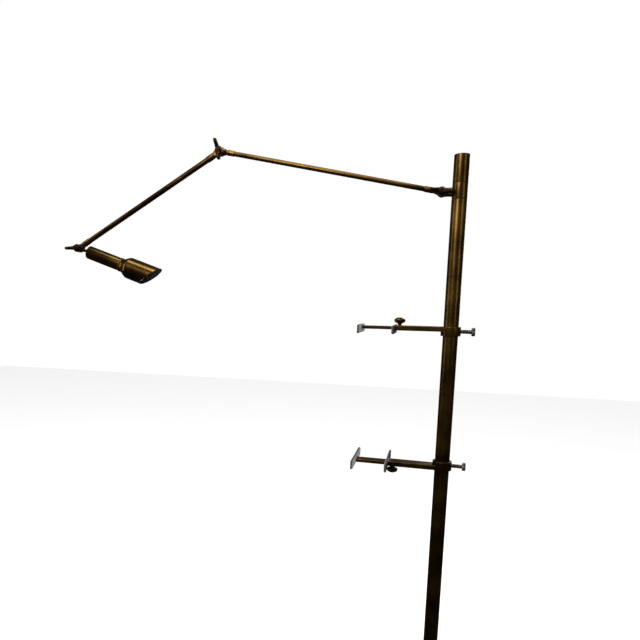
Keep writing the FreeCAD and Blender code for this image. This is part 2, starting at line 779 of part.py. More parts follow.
def make_bracket(name, below_top, up, bar_width, jaw_width):
    """A collar on the pole with its bush and screw, a telescopic bar, two padded jaws and the bar's knob.

    up is 1 when the knob is on top and the jaws hang below the bar, and -1 for the same bracket upside down.
    """
    collar_middle = (D.stand_height - below_top).value
    half = D.collar_height / 2
    bush_bore = pole_radius + D.running_clearance
    bush_radius = pole_radius + D.bush_wall
    flange = bush_radius + D.bush_flange_width
    flange_start = half - D.bush_flange_height
    bush = turned(f"{name}_bush", [
        (bush_bore, -half),
        (flange, -half),
        (flange, -flange_start),
        (bush_radius, -flange_start),
        (bush_radius, flange_start),
        (flange, flange_start),
        (flange, half),
        (bush_bore, half),
    ])
    bore = bush_radius + D.running_clearance
    recess = flange + D.body_gap
    recess_start = flange_start - D.body_gap
    collar_radius = pole_radius + D.collar_proud
    collar = turned(f"{name}_collar", [
        (recess, -half),
        (collar_radius, -half),
        (collar_radius, half),
        (recess, half),
        (recess, recess_start),
        (bore, recess_start),
        (bore, -recess_start),
        (recess, -recess_start),
    ])
    screw = D.thumb_screw_od / 2
    hole = sketch_on(collar, "YZ_Plane", 0)
    draw_circle(hole, screw + D.running_clearance)
    pocket(collar, hole, collar_radius + 1)
    soften(collar, 0.8, lambda edge: is_circle(edge, collar_radius))

    tip = bush_radius + D.body_gap
    shank_end = tip + D.thumb_screw_length
    thumb = turned(f"{name}_thumb_screw", [
        (0, tip),
        (screw, tip),
        (screw, shank_end),
        (D.thumb_head_radius, shank_end),
        (D.thumb_head_radius, shank_end + D.thumb_head_length),
        (0, shank_end + D.thumb_head_length),
    ])
    soften(thumb, 0.6, lambda edge: is_circle(edge, D.thumb_head_radius))

    bar = new_body(f"{name}_outer_bar")
    bar_start = size(0)
    bar_end = D.fixed_jaw_reach - D.jaw_thickness / 2
    section = sketch_on(bar, "YZ_Plane", bar_start)
    draw_box(section, bar_width, D.bar_height, y=D.bar_offset)
    pad(bar, section, bar_end, reverse=True)
    inside = sketch_on(bar, "YZ_Plane", bar_start)
    inside_width = bar_width - D.bar_wall * 2
    inside_height = D.bar_height - D.bar_wall * 2
    draw_box(inside, inside_width, inside_height, y=D.bar_offset)
    pocket(bar, inside, bar_end + 1, reverse=True)
    seat = sketch_on(bar, "XY_Plane", -D.collar_height)
    draw_circle(seat, collar_radius)
    pocket(bar, seat, D.collar_height * 2)
    knob_hole = sketch_on(bar, "XY_Plane", D.bar_offset)
    draw_circle(knob_hole, D.knob_stud_od / 2 + D.running_clearance, x=-D.knob_reach)
    pocket(bar, knob_hole, D.bar_height)

    slide_width = inside_width - D.slide_clearance * 2
    slide_height = inside_height - D.slide_clearance * 2
    window = (slide_width + D.slide_clearance * 2, slide_height + D.slide_clearance * 2)
    fixed = make_jaw(f"{name}_fixed_jaw", jaw_width, D.fixed_jaw_reach, window)
    moving = make_jaw(f"{name}_moving_jaw", jaw_width, D.moving_jaw_reach, None)
    pad_width, pad_height = jaw_width - D.pad_inset * 2, D.jaw_height - D.pad_inset * 2
    fixed_pad = make_pad(f"{name}_fixed_pad", pad_width, pad_height,
                         D.fixed_jaw_reach + D.jaw_thickness / 2 + D.pad_thickness, window)
    moving_face = D.moving_jaw_reach - D.jaw_thickness / 2
    moving_pad = make_pad(f"{name}_moving_pad", pad_width, pad_height, moving_face,
                          (slide_width + D.fit_clearance * 2, slide_height + D.fit_clearance * 2))

    inner = new_body(f"{name}_inner_bar")
    inner_end = D.fixed_jaw_reach - D.inner_bar_inside
    slide = sketch_on(inner, "YZ_Plane", -inner_end)
    draw_box(slide, slide_width, slide_height, y=D.bar_offset)
    pad(inner, slide, moving_face - inner_end, reverse=True)

    slide_top = D.bar_offset + slide_height / 2
    bar_top = D.bar_offset + D.bar_height / 2
    stud = D.knob_stud_od / 2
    knob_foot = bar_top + D.body_gap
    disc = knob_foot + D.knob_neck_height
    knob = turned(f"{name}_knob", [
        (0, slide_top + D.body_gap),
        (stud, slide_top + D.body_gap),
        (stud, knob_foot),
        (D.knob_neck_od / 2, knob_foot),
        (D.knob_neck_od / 2, disc),
        (D.knob_radius * 0.8, disc + D.knob_height * 0.22),
        (D.knob_radius, disc + D.knob_height * 0.46),
        (D.knob_radius * 0.94, disc + D.knob_height * 0.66),
        (D.knob_radius * 0.6, disc + D.knob_height * 0.9),
        (0, disc + D.knob_height),
    ])

    turn = 0 if up > 0 else 180
    for body in (bush, collar, bar, fixed, moving, fixed_pad, moving_pad, inner):
        stand_at(body, z=collar_middle, turn_axis=X, turn=turn)
    flip = FreeCAD.Rotation(X, turn)
    origin = FreeCAD.Vector(0, 0, collar_middle)
    thumb.Placement = FreeCAD.Placement(origin, flip * FreeCAD.Rotation(Y, 90))
    knob.Placement = FreeCAD.Placement(origin + FreeCAD.Vector(-D.knob_reach.value, 0, 0), flip)


def make_jaw(label, width, reach, window):
    """A jaw plate across the bar, reach being the distance of its middle from the pole's axis."""
    body = new_body(label)
    face = sketch_on(body, "YZ_Plane", -(reach - D.jaw_thickness / 2))
    draw_box(face, width, D.jaw_height, y=D.jaw_offset)
    pad(body, face, D.jaw_thickness, reverse=True)
    soften(body, D.jaw_corner, lambda edge: is_long_corner(edge, D.jaw_thickness))
    if window:
        hole = sketch_on(body, "YZ_Plane", -(reach - D.jaw_thickness / 2))
        draw_box(hole, window[0], window[1], y=D.bar_offset)
        pocket(body, hole, D.jaw_thickness + 1, reverse=True)
    return body


def is_long_corner(edge, length):
    """Whether a straight edge runs along X with the given length."""
    first, last = edge.Vertexes[0].Point, edge.Vertexes[-1].Point
    return abs(abs(first.x - last.x) - length.value) < 1e-6


def make_pad(label, width, height, back, window):
    """The soft face of a jaw, back being the distance of its -X side from the pole's axis."""
    body = new_body(label)
    face = sketch_on(body, "YZ_Plane", -back)
    draw_box(face, width, height, y=D.jaw_offset)
    draw_box(face, window[0], window[1], y=D.bar_offset)
    pad(body, face, D.pad_thickness)
    return body


# ---------------------------------------------------------------- the whole lamp


def make_lamp():
    make_base()
    make_gland()
    make_pole()
    lead_foot = weight_top + D.plug_height / 2
    rod("pole_lead", D.lead_od / 2, lead_foot, pole_top + D.ring_height)
    make_swivel_ring()
    make_arm(1, shoulder, elbow, arm_1_turn, D.arm_1_length, D.arm_1_od)
    make_arm(2, elbow, wrist, arm_2_turn, D.arm_2_length, D.arm_2_od)
    make_hinge("shoulder", shoulder, D.shoulder_wing_turn.value)
    make_hinge("elbow", elbow, D.elbow_wing_turn.value)
    make_hinge("wrist", wrist, D.wrist_wing_turn.value)
    make_head_inside(make_head_shells())
    make_bracket("upper", D.upper_bracket_below_top, 1, D.upper_bar_width, D.upper_jaw_width)
    make_bracket("lower", D.lower_bracket_below_top, -1, D.lower_bar_width, D.lower_jaw_width)


def write_parts():
    """Check every object, then write each sub-part to its own file."""
    doc.recompute()
    for item in doc.Objects:
        if "Invalid" in item.State or "Error" in item.State:
            raise RuntimeError(f"{item.Label} did not build: {item.State}")
    for body in parts:
        if body.Shape.isNull() or not body.Shape.isValid():
            raise RuntimeError(f"{body.Label} has no valid shape")
    os.makedirs("parts", exist_ok=True)
    for body in parts:
        body.Shape.exportStep(f"parts/{body.Label}.step")
    print(f"{len(parts)} sub-parts written")


make_lamp()
write_parts()
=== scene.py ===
"""Looks of a picture lamp on a floor stand: detailed surfaces and finishes built round its fixed frame.

Metres, +Z up, origin under the middle of the base. The arm and both brackets point towards -X. Laid out as
an add-on: sizes and colours are properties, each piece or group of like pieces has an operator, and main runs
them.
"""

import json
import math

import bmesh
import bpy
import numpy as np
from bpy.props import FloatProperty, FloatVectorProperty, IntProperty, PointerProperty
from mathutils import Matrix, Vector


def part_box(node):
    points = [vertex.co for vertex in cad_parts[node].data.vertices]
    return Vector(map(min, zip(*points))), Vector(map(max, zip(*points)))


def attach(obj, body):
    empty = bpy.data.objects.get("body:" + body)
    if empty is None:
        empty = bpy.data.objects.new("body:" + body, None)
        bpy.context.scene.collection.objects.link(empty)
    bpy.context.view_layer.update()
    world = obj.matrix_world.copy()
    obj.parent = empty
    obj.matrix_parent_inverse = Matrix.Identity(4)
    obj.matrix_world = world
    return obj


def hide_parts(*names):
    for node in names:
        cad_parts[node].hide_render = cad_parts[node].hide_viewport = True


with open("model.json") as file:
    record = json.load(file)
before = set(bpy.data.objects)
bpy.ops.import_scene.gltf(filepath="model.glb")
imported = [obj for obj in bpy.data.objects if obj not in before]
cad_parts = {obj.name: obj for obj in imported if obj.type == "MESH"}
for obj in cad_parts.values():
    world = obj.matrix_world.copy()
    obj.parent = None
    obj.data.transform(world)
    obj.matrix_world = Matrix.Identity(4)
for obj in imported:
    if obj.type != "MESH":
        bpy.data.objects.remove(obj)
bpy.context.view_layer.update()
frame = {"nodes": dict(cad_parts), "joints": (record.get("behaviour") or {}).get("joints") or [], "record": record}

bl_info = {
    "name": "Picture Lamp",
    "version": (1, 0, 0),
    "blender": (4, 5, 0),
    "location": "3D View > Sidebar > Picture Lamp",
    "description": "Builds a jointed picture lamp with its padded display brackets round a fixed frame",
    "category": "Add Mesh",
}

TURN = 2 * math.pi
SOCKETS = {"ior": "IOR", "specular_ior_level": "Specular IOR Level"}
HINGES = {"shoulder": "swivel", "elbow": "arm_1", "wrist": "arm_2"}  # and the body that holds each one's bolt
BRACKETS = ("upper", "lower")

# Sizes of the knuckles, and the gap between a piece and the one that it is pushed into.
LUG_RADIUS = 0.011
LUG_THICKNESS = 0.011
NEAR_FACE = 0.0008
FAR_FACE = 0.0005
BOLT_HOLE = 0.00305
WEB_THICKNESS = 0.0065
NECK_START = 0.0046
NECK_HALF_HEIGHT = 0.0096
SLEEVE_START = 0.020
SLEEVE_WALL = 0.0009
STEM_RADIUS = 0.0045
CLEARANCE = 5e-5


# ---------------------------------------------------------------- sizes and colours


def length(name, description, default):
    return FloatProperty(name=name, description=description, default=default, unit="LENGTH", precision=5)


def count(name, description, default, least):
    return IntProperty(name=name, description=description, default=default, min=least)


def number(name, description, default):
    return FloatProperty(name=name, description=description, default=default)


def colour(name, description, default):
    return FloatVectorProperty(name=name, description=description, default=default, size=3,
                               subtype="COLOR", min=0.0, max=1.0)


class LampSizes(bpy.types.PropertyGroup):
    """Small sizes of the lamp's surfaces; the large ones come from the frame."""

    edge: length("Edge rounding", "Radius of the broken edges of metal pieces", 0.0006)
    soft_edge: length("Soft edge rounding", "Radius of the rounded edges of bars, caps and collars", 0.0016)
    tube_wall: length("Tube wall", "Wall of the pole, the head and the nose", 0.0014)
    bar_wall: length("Bar wall", "Wall of the brackets' outer bars", 0.002)
    groove: length("Groove depth", "Depth of turned grooves", 0.0005)
    pad_crown: length("Pad crown", "How far the middle of a jaw pad stands proud of its rim", 0.0002)
    thread_pitch: length("Thread pitch", "Distance between turns of the thumb screws' thread", 0.0015)
    thread_depth: length("Thread depth", "Depth of the thumb screws' thread", 0.00045)
    knurl_teeth: count("Knurl teeth", "Teeth round a thumb screw's head", 44, 8)
    knurl_depth: length("Knurl depth", "Depth of the teeth round a thumb screw's head", 0.0005)
    knob_flutes: count("Knob flutes", "Flutes round a clamping knob", 18, 3)
    knob_flute_depth: length("Flute depth", "Depth of the flutes round a clamping knob", 0.0006)
    forging_grain: length("Forging grain", "Cells that forged pieces are melted together from", 0.00045)
    reflector_facets: count("Reflector facets", "Facets round the bulb", 24, 6)


class LampColours(bpy.types.PropertyGroup):
    """Base colours of the finishes."""

    brass: colour("Brass", "Rubbed places of the antiqued brass", (0.27, 0.152, 0.032))
    patina: colour("Patina", "Darkened places of the antiqued brass", (0.062, 0.033, 0.009))
    bronze: colour("Dark bronze", "Wing nuts, bolts and knobs", (0.046, 0.026, 0.013))
    bronze_rub: colour("Rubbed bronze", "Worn places of the dark bronze", (0.11, 0.070, 0.030))
    nickel: colour("Nickel", "Thumb screws", (0.26, 0.25, 0.235))
    jaw: colour("Jaw grey", "Painted jaw plates", (0.028, 0.028, 0.029))
    foam: colour("Pad grey", "Soft faces of the jaws", (0.13, 0.13, 0.127))
    floor: colour("Floor", "The plain floor", (0.93, 0.93, 0.93))


class StageSettings(bpy.types.PropertyGroup):
    """Camera and lights."""

    place: FloatVectorProperty(name="Camera place", description="Where the camera stands", size=3,
                               default=(-0.0274, -1.4686, 1.4575), subtype="TRANSLATION", unit="LENGTH")
    aim: FloatVectorProperty(name="Camera turn", description="How the camera is turned", size=3,
                             subtype="EULER", default=[math.radians(a) for a in (81.219, -1.007, 16.55)])
    lens: number("Focal length", "Focal length in millimetres", 32.75)
    rise: number("Lens rise", "Upward shift of the frame", 0.1130)
    slide: number("Lens slide", "Sideways shift of the frame", 0.0852)
    backdrop: number("Backdrop", "Brightness of the white backdrop", 1.0)
    room: number("Room light", "Brightness of the light that fills the room", 0.10)
    floor_light: number("Floor light", "Brightness of the light on matt surfaces", 1.25)


# ---------------------------------------------------------------- places in the frame


JOINTS = {joint["name"]: joint for joint in frame["joints"]}


def unit(vector):
    vector = np.asarray(vector, float)
    return vector / np.linalg.norm(vector)


class Place:
    """A line in the lamp with two directions square to it: shapes are given as along, side and up."""

    def __init__(self, origin, along, side=(0, 1, 0)):
        self.origin = np.asarray(origin, float)
        self.along = unit(along)
        self.up = unit(np.cross(self.along, side))
        self.side = np.cross(self.up, self.along)

    def put(self, along, side, up):
        """Points of the lamp: origin + along * A + side * S + up * U."""
        along, side, up = np.broadcast_arrays(along, side, up)
        return (self.origin + along[..., None] * self.along + side[..., None] * self.side
                + up[..., None] * self.up)

    def parts(self, node):
        """The corners of a node as their distances along, aside and up."""
        mesh = frame["nodes"][node].data
        found = np.empty(len(mesh.vertices) * 3)
        mesh.vertices.foreach_get("co", found)
        found = found.reshape(-1, 3) - self.origin
        return found @ self.along, found @ self.side, found @ self.up

    def span(self, node):
        along = self.parts(node)[0]
        return along.min(), along.max()

    def radii(self, node):
        """The smallest and the largest distance of a node's corners from the line."""
        _, side, up = self.parts(node)
        found = np.hypot(side, up)
        return found.min(), found.max()

    def widths(self, node):
        """Lowest and highest corner of a node aside and up."""
        _, side, up = self.parts(node)
        return side.min(), side.max(), up.min(), up.max()


def hinge_point(name):
    return np.array(JOINTS[f"{name}_hinge"]["pos_m"])


SHOULDER, ELBOW, WRIST = (hinge_point(name) for name in HINGES)
STAND = Place((0, 0, 0), (0, 0, 1))
ARM_1 = Place(SHOULDER, ELBOW - SHOULDER)
ARM_2 = Place(ELBOW, WRIST - ELBOW)
HEAD = Place(WRIST, np.mean(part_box("head_tube"), axis=0) - WRIST)


def bracket_place(name):
    """A bracket's own line, from the pole's axis out along the bar, with up towards its knob's side."""
    up = JOINTS[f"{name}_knob_screw"]["axis"][2]
    return Place(JOINTS[f"{name}_collar_turn"]["pos_m"], (-1, 0, 0), (0, -up, 0))


# ---------------------------------------------------------------- surfaces


def rounded(corners, radii, steps=5):
    """Corners softened by curves: each becomes B(t) = (1-t)^2 S + 2t(1-t) P + t^2 E, where P is the corner,
    and S and E lie at its radius from P, towards the corners before and after it."""
    corners = np.asarray(corners, float)
    radii = np.broadcast_to(np.asarray(radii, float), len(corners))
    before, after = np.roll(corners, 1, 0) - corners, np.roll(corners, -1, 0) - corners
    before_length = np.linalg.norm(before, axis=1)
    after_length = np.linalg.norm(after, axis=1)
    reach = np.minimum(radii, 0.45 * np.minimum(before_length, after_length))
    start = corners + before * (reach / before_length)[:, None]
    end = corners + after * (reach / after_length)[:, None]
    t = np.linspace(0, 1, steps)[None, :, None]
    curve = (1 - t) ** 2 * start[:, None] + 2 * t * (1 - t) * corners[:, None] + t ** 2 * end[:, None]
    return curve.reshape(-1, 2)


def grid_faces(rows, columns, loop_rows):
    """Four-sided faces of a grid whose columns close on themselves, as its rows do when loop_rows is set."""
    row = np.arange(rows if loop_rows else rows - 1)[:, None]
    column = np.arange(columns)[None, :]
    after_row, after_column = (row + 1) % rows, (column + 1) % columns
    corners = (row * columns + column, row * columns + after_column,
               after_row * columns + after_column, after_row * columns + column)
    return np.stack(corners, -1).reshape(-1, 4)


def facing_out(points, faces):
    """The faces turned outwards: turned over when sum of a . (b x c) over their halves is negative."""
    a, b, c, d = (points[faces[:, k]] for k in range(4))
    volume = (a * np.cross(b, c)).sum() + (a * np.cross(c, d)).sum()
    return faces if volume > 0 else faces[:, ::-1]


def skin(points, loop_rows=False):
    """A closed surface from a grid of points: rows along it, columns round it."""
    flat = points.reshape(-1, 3)
    return flat, facing_out(flat - flat.mean(0), grid_faces(*points.shape[:2], loop_rows))


def around(columns):
    """Angles evenly spaced round a whole turn."""
    return np.arange(columns) * TURN / columns


def smooth(share):
    """An even rise from 0 to 1 over a share t, t^2 (3 - 2t)."""
    return share * share * (3 - 2 * share)


def spun(place, along, radius, columns, closed=False):
    """A surface round a line: put(a, r cos T, r sin T) for each row's a and r, T from 0 to a whole turn."""
    angle = around(columns)
    return skin(place.put(along, radius * np.cos(angle), radius * np.sin(angle)), closed)


def turned(place, profile, closed, columns=96):
    """A surface of revolution from a profile of pairs (a, r). The profile is closed for a ring, and runs from
    the axis back to the axis for a solid."""
    return spun(place, profile[:, :1], profile[:, 1:], columns, closed)


def ring(place, start, end, bore, outer, edge, columns=96):
    corners = [(start, bore), (start, outer), (end, outer), (end, bore)]
    return turned(place, rounded(corners, edge), True, columns)


def section(half_side, half_up, power, columns=64):
    """The closed curve side = a sgn(cos T) |cos T|^p, up = b sgn(sin T) |sin T|^p: an ellipse where p is 1,
    and more like a box the nearer p is to 0."""
    angle = around(columns)
    cosine, sine = np.cos(angle), np.sin(angle)
    return (half_side * np.sign(cosine) * np.abs(cosine) ** power,
            half_up * np.sign(sine) * np.abs(sine) ** power)


def capped(points):
    """A closed surface from a loft: each of its two end rows is drawn together at its own middle."""
    ends = [points.mean(1, keepdims=True)[k] + 0 * points[k] for k in (0, -1)]
    return skin(np.concatenate((ends[:1], points, ends[1:])))


def lofted(place, rows, middle):
    """Points of a loft: each row is a loop of side and up at its own distance along, raised by the middle."""
    return np.stack([place.put(along, loop[:, 0], middle + loop[:, 1]) for along, loop in rows])


def solid(place, corners, radii, columns=96):
    """A turned solid: the corners run from the axis to the axis, where they stay sharp."""
    profile = rounded(corners, radii)
    return turned(place, profile[profile[:, 1] >= 0], False, columns)


def box_loop(width, height, radius, steps=6):
    """A rounded rectangle round the origin, as pairs of side and up."""
    x, y = width / 2, height / 2
    return rounded([(-x, -y), (x, -y), (x, y), (-x, y)], radius, steps)


def polar(loop, angles):
    """How far a loop is from the origin in each direction, between its own points."""
    own = np.arctan2(loop[:, 1], loop[:, 0])
    order = np.argsort(own)
    return np.interp(angles, own[order], np.hypot(*loop.T)[order], period=TURN)


def fine_loop(loop, columns):
    """The same loop with points added along its sides, evenly by length."""
    closed = np.vstack((loop, loop[:1]))
    walked = np.concatenate(([0], np.cumsum(np.linalg.norm(np.diff(closed, axis=0), axis=1))))
    where = np.union1d(np.linspace(0, walked[-1], columns, endpoint=False), walked[:-1])
    return np.stack([np.interp(where, walked, closed[:, k]) for k in (0, 1)], -1)


def slab(place, start, thick, outer, centre, window, edge, crown=0.0, rings=8):
    """A plate square to the line with rounded rims. Its rim follows inset = e(1 - cos q), rise = e sin q, and
    its faces run straight from the rim to the window, or to the middle, with a crown of c(1 - s^4)."""
    loop = fine_loop(outer, 160) - centre
    angles = np.arctan2(loop[:, 1], loop[:, 0])
    if window is not None:
        angles = np.union1d(angles, np.arctan2(window[:, 1], window[:, 0]))
        inner = polar(fine_loop(window, 400), angles)
    else:
        angles = np.sort(angles)
        inner = np.zeros_like(angles)
    far = polar(fine_loop(outer, 800) - centre, angles)
    q = np.linspace(0, math.pi / 2, 5)
    rim_inset = edge * (1 - np.cos(q))
    rim_rise = edge * np.sin(q)
    s = np.linspace(1, 0, rings)[1:]
    face_reach = inner + (far - edge - inner) * s[:, None]
    face_rise = thick / 2 + crown * (1 - s ** 4)
    front_reach = np.vstack((far - rim_inset[:, None], face_reach))
    front_rise = np.concatenate((thick / 2 - edge + rim_rise, face_rise))
    back_rise = -np.concatenate((thick / 2 - edge + rim_rise, np.full(len(s), thick / 2)))
    reach = np.vstack((front_reach[::-1], front_reach))
    rise = np.concatenate((back_rise[::-1], front_rise))
    points = place.put(start + thick / 2 + rise[:, None], centre[0] + reach * np.cos(angles),
                       centre[1] + reach * np.sin(angles))
    return skin(points, window is not None)


def piece(name, body, finish, shells, replaces=(), sharp=32):
    """A finished object from one or more closed surfaces, smooth except at edges sharper than the angle."""
    starts = np.cumsum([0] + [len(points) for points, _ in shells[:-1]])
    points = np.vstack([points for points, _ in shells])
    faces = np.vstack([faces + start for (_, faces), start in zip(shells, starts)])
    mesh = bpy.data.meshes.new(name)
    mesh.from_pydata(points.tolist(), [], faces.tolist())
    weld(mesh)
    return finish_piece(bpy.data.objects.new(name, mesh), body, finish, replaces, sharp)


def weld(mesh):
    """Joins the points of poles and seams, and drops faces that have shrunk to nothing."""
    work = bmesh.new()
    work.from_mesh(mesh)
    bmesh.ops.remove_doubles(work, verts=work.verts, dist=2e-7)
    bmesh.ops.dissolve_degenerate(work, edges=work.edges, dist=1e-8)
    work.to_mesh(mesh)
    work.free()


def finish_piece(made, body, finish, replaces, sharp):
    if made.name not in bpy.context.scene.collection.objects:
        bpy.context.scene.collection.objects.link(made)
    made.data.polygons.foreach_set("use_smooth", np.ones(len(made.data.polygons), bool))
    made.data.set_sharp_from_angle(angle=math.radians(sharp))
    made.data.materials.clear()
    made.data.materials.append(paint(finish))
    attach(made, body)
    if replaces:
        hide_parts(*replaces)
    return made


def apply_modifiers(made):
    """Swaps an object's mesh for the one that its modifiers give."""
    bpy.context.view_layer.update()
    shown = made.evaluated_get(bpy.context.evaluated_depsgraph_get())
    mesh = bpy.data.meshes.new_from_object(shown)
    made.modifiers.clear()
    made.data = mesh


def forged(name, body, finish, shells, replaces=(), smoothing=6):
    """Overlapping surfaces melted into one, with the soft inner corners of a forging."""
    made = piece(name, body, finish, shells, replaces)
    melt = made.modifiers.new("melt", "REMESH")
    melt.mode = "VOXEL"
    melt.voxel_size = bpy.context.scene.lamp_sizes.forging_grain
    relax = made.modifiers.new("relax", "SMOOTH")
    relax.factor = 0.5
    relax.iterations = smoothing
    apply_modifiers(made)
    return finish_piece(made, body, finish, (), 60)


def bored(made, place, start, end, radius):
    """Cuts a round hole through a piece."""
    points, faces = solid(place, [(start, 0), (start, radius), (end, radius), (end, 0)], 0, 64)
    mesh = bpy.data.meshes.new("drill")
    mesh.from_pydata(points.tolist(), [], faces.tolist())
    weld(mesh)
    drill = bpy.data.objects.new("drill", mesh)
    bpy.context.scene.collection.objects.link(drill)
    cut = made.modifiers.new("bore", "BOOLEAN")
    cut.operation = "DIFFERENCE"
    cut.solver = "EXACT"
    cut.object = drill
    apply_modifiers(made)
    bpy.data.objects.remove(drill)
    made.data.set_sharp_from_angle(angle=math.radians(32))


# ---------------------------------------------------------------- finishes


class Value:
    """An output of a node, so that shader maths reads as plain expressions."""

    def __init__(self, finish, socket):
        self.finish = finish
        self.socket = socket

    def math(self, operation, *values):
        inputs = dict(enumerate(values))
        return self.finish.node("ShaderNodeMath", {"operation": operation}, inputs)[0]

    def __add__(self, other):
        return self.math("ADD", self, other)

    def __sub__(self, other):
        return self.math("SUBTRACT", self, other)

    def __mul__(self, other):
        return self.math("MULTIPLY", self, other)

    def __rsub__(self, other):
        return self.math("SUBTRACT", other, self)

    __radd__ = __add__
    __rmul__ = __mul__


class Finish:
    """A material being made: its node tree, its shader, and one method that adds any other node."""

    def __init__(self, name, **sockets):
        self.material = bpy.data.materials.new(name)
        self.material.use_nodes = True
        self.tree = self.material.node_tree
        self.tree.nodes.clear()
        output = self.tree.nodes.new("ShaderNodeOutputMaterial")
        self.shader = self.tree.nodes.new("ShaderNodeBsdfPrincipled")
        self.tree.links.new(self.shader.outputs[0], output.inputs[0])
        self.set(**{SOCKETS.get(key, key.replace("_", " ").title()): value for key, value in sockets.items()})

    def join(self, socket, value):
        if isinstance(value, Value):
            self.tree.links.new(value.socket, socket)
        else:
            socket.default_value = value

    def set(self, **sockets):
        for name, value in sockets.items():
            self.join(self.shader.inputs[name], value)

    def node(self, kind, settings=None, inputs=None):
        made = self.tree.nodes.new(kind)
        for name, value in (settings or {}).items():
            if name == "stops":
                for stop, (at, tone) in zip(made.color_ramp.elements, value):
                    stop.position, stop.color = at, (tone, tone, tone, 1)
            else:
                setattr(made, name, value)
        for name, value in (inputs or {}).items():
            self.join(made.inputs[name], value)
        return [Value(self, socket) for socket in made.outputs]

    def spots(self, scale, detail=4.0, stretch=(1, 1, 1), turn=0.0, roughness=0.5):
        """Cloudy noise in the object's own space, from 0 to 1, stretched in a frame turned about Y."""
        where = self.node("ShaderNodeTexCoord")[3]
        turned_back = self.node("ShaderNodeMapping", {"vector_type": "POINT"},
                                {"Vector": where, "Rotation": (0, turn, 0)})[0]
        stretched = self.node("ShaderNodeMapping", {"vector_type": "POINT"},
                              {"Vector": turned_back, "Scale": stretch})[0]
        inputs = {"Vector": stretched, "Scale": scale, "Detail": detail, "Roughness": roughness}
        return self.node("ShaderNodeTexNoise", {}, inputs)[0]

    def cells(self, scale):
        """Distance from the middle of small irregular cells in the object's own space."""
        inputs = {"Vector": self.node("ShaderNodeTexCoord")[3], "Scale": scale}
        return self.node("ShaderNodeTexVoronoi", {}, inputs)[0]

    def steep(self, value, low, high):
        """0 below low, 1 above high, and even between."""
        return self.node("ShaderNodeValToRGB", {"stops": ((low, 0.0), (high, 1.0))}, {"Fac": value})[0]

    def mix(self, share, first, second):
        """A colour between two: a share of 0 gives the first and 1 the second."""
        first, second = ((*tone, 1) if not isinstance(tone, Value) else tone for tone in (first, second))
        inputs = {0: share, 6: first, 7: second}
        return self.node("ShaderNodeMix", {"data_type": "RGBA", "clamp_factor": True}, inputs)[2]

    def relief(self, height, strength, distance):
        inputs = {"Height": height, "Strength": strength, "Distance": distance}
        self.set(Normal=self.node("ShaderNodeBump", {}, inputs)[0])


def tilt(place):
    """The turn about Y that brings a place's line back to the Z axis."""
    return -math.atan2(place.along[0], place.along[2])


def antiqued(name, turn=0.0, grain=(45, 45, 1.2), painted_shade=0.0, gloss=0.30):
    """Antiqued brass: brown patina rubbed through to gold in clouds and along the brushing, under lacquer.
    The grain is how the brushing is stretched, in a frame turned about Y. The painted shade is painted light:
    above zero it darkens the whole finish as painted shade, below zero it lightens it as a painted highlight."""
    tones = bpy.context.scene.lamp_colours
    made = Finish(name, metallic=1.0, coat_weight=0.05, coat_roughness=0.2)
    clouds = made.steep(made.spots(16, 5), 0.36, 0.70)
    brushing = made.spots(9, 2, grain, turn, 0.5)
    specks = made.steep(made.spots(420, 2), 0.62, 0.78)
    # Painted light: taking off the painted shade darkens the brass as painted shade when it is above zero, and
    # lightens it as a painted highlight when it is below zero.
    rubbed = clouds * 0.75 + made.steep(brushing, 0.2, 0.8) * 0.22 - painted_shade
    metal = made.mix(rubbed, tones.patina, tones.brass)
    made.set(**{"Base Color": made.mix(specks * 0.08, metal, tones.patina),
                "Roughness": gloss + brushing * 0.05 + clouds * 0.04 + specks * 0.05})
    made.relief(brushing, 0.012, 0.0001)
    return made.material


def dark_bronze(name):
    """Dark bronze: nearly black brown, a faint rub of warm metal and the orange-peel of a forged surface."""
    tones = bpy.context.scene.lamp_colours
    made = Finish(name, metallic=1.0, coat_weight=0.04, coat_roughness=0.3)
    rub = made.steep(made.spots(60, 5), 0.45, 0.75)
    made.set(**{"Base Color": made.mix(rub, tones.bronze, tones.bronze_rub),
                "Roughness": 0.36 + made.spots(140, 3) * 0.18 - rub * 0.05})
    made.relief(made.spots(520, 3) + made.spots(90, 2) * 0.5, 0.12, 0.0002)
    return made.material


def nickel_plate(name):
    """Nickel plate with fine turning marks round the screw and slight dulling."""
    tones = bpy.context.scene.lamp_colours
    made = Finish(name, metallic=1.0)
    marks = made.spots(8, 3, (220, 6, 6))
    dulling = made.steep(made.spots(110, 4), 0.4, 0.75)
    shaded = tuple(tone * 0.62 for tone in tones.nickel)
    made.set(**{"Base Color": made.mix(dulling * 0.8, tones.nickel, shaded),
                "Roughness": 0.2 + marks * 0.16 + dulling * 0.12})
    made.relief(marks, 0.12, 0.0002)
    return made.material


def grey_paint(name):
    """Satin powder paint on the jaw plates: a fine pebbled surface, a little rubbed."""
    tones = bpy.context.scene.lamp_colours
    made = Finish(name, specular_ior_level=0.5)
    rub = made.steep(made.spots(70, 5), 0.52, 0.8)
    lighter = tuple(tone * 1.9 for tone in tones.jaw)
    made.set(**{"Base Color": made.mix(rub * 0.7, tones.jaw, lighter), "Roughness": 0.38 + rub * 0.2})
    made.relief(made.spots(900, 2), 0.25, 0.0002)
    return made.material


def soft_foam(name):
    """Closed foam rubber: pale grey, matt, with tiny open cells and faint soiling."""
    tones = bpy.context.scene.lamp_colours
    made = Finish(name, specular_ior_level=0.25, sheen_weight=0.15)
    cells = made.cells(1400.0)
    soil = made.steep(made.spots(45, 5), 0.45, 0.8)
    dull = tuple(tone * 0.72 for tone in tones.foam)
    made.set(**{"Base Color": made.mix(soil * 0.8 + (1 - cells) * 0.2, tones.foam, dull),
                "Roughness": 0.8 + cells * 0.15})
    made.relief(cells, 0.35, 0.0003)
    return made.material


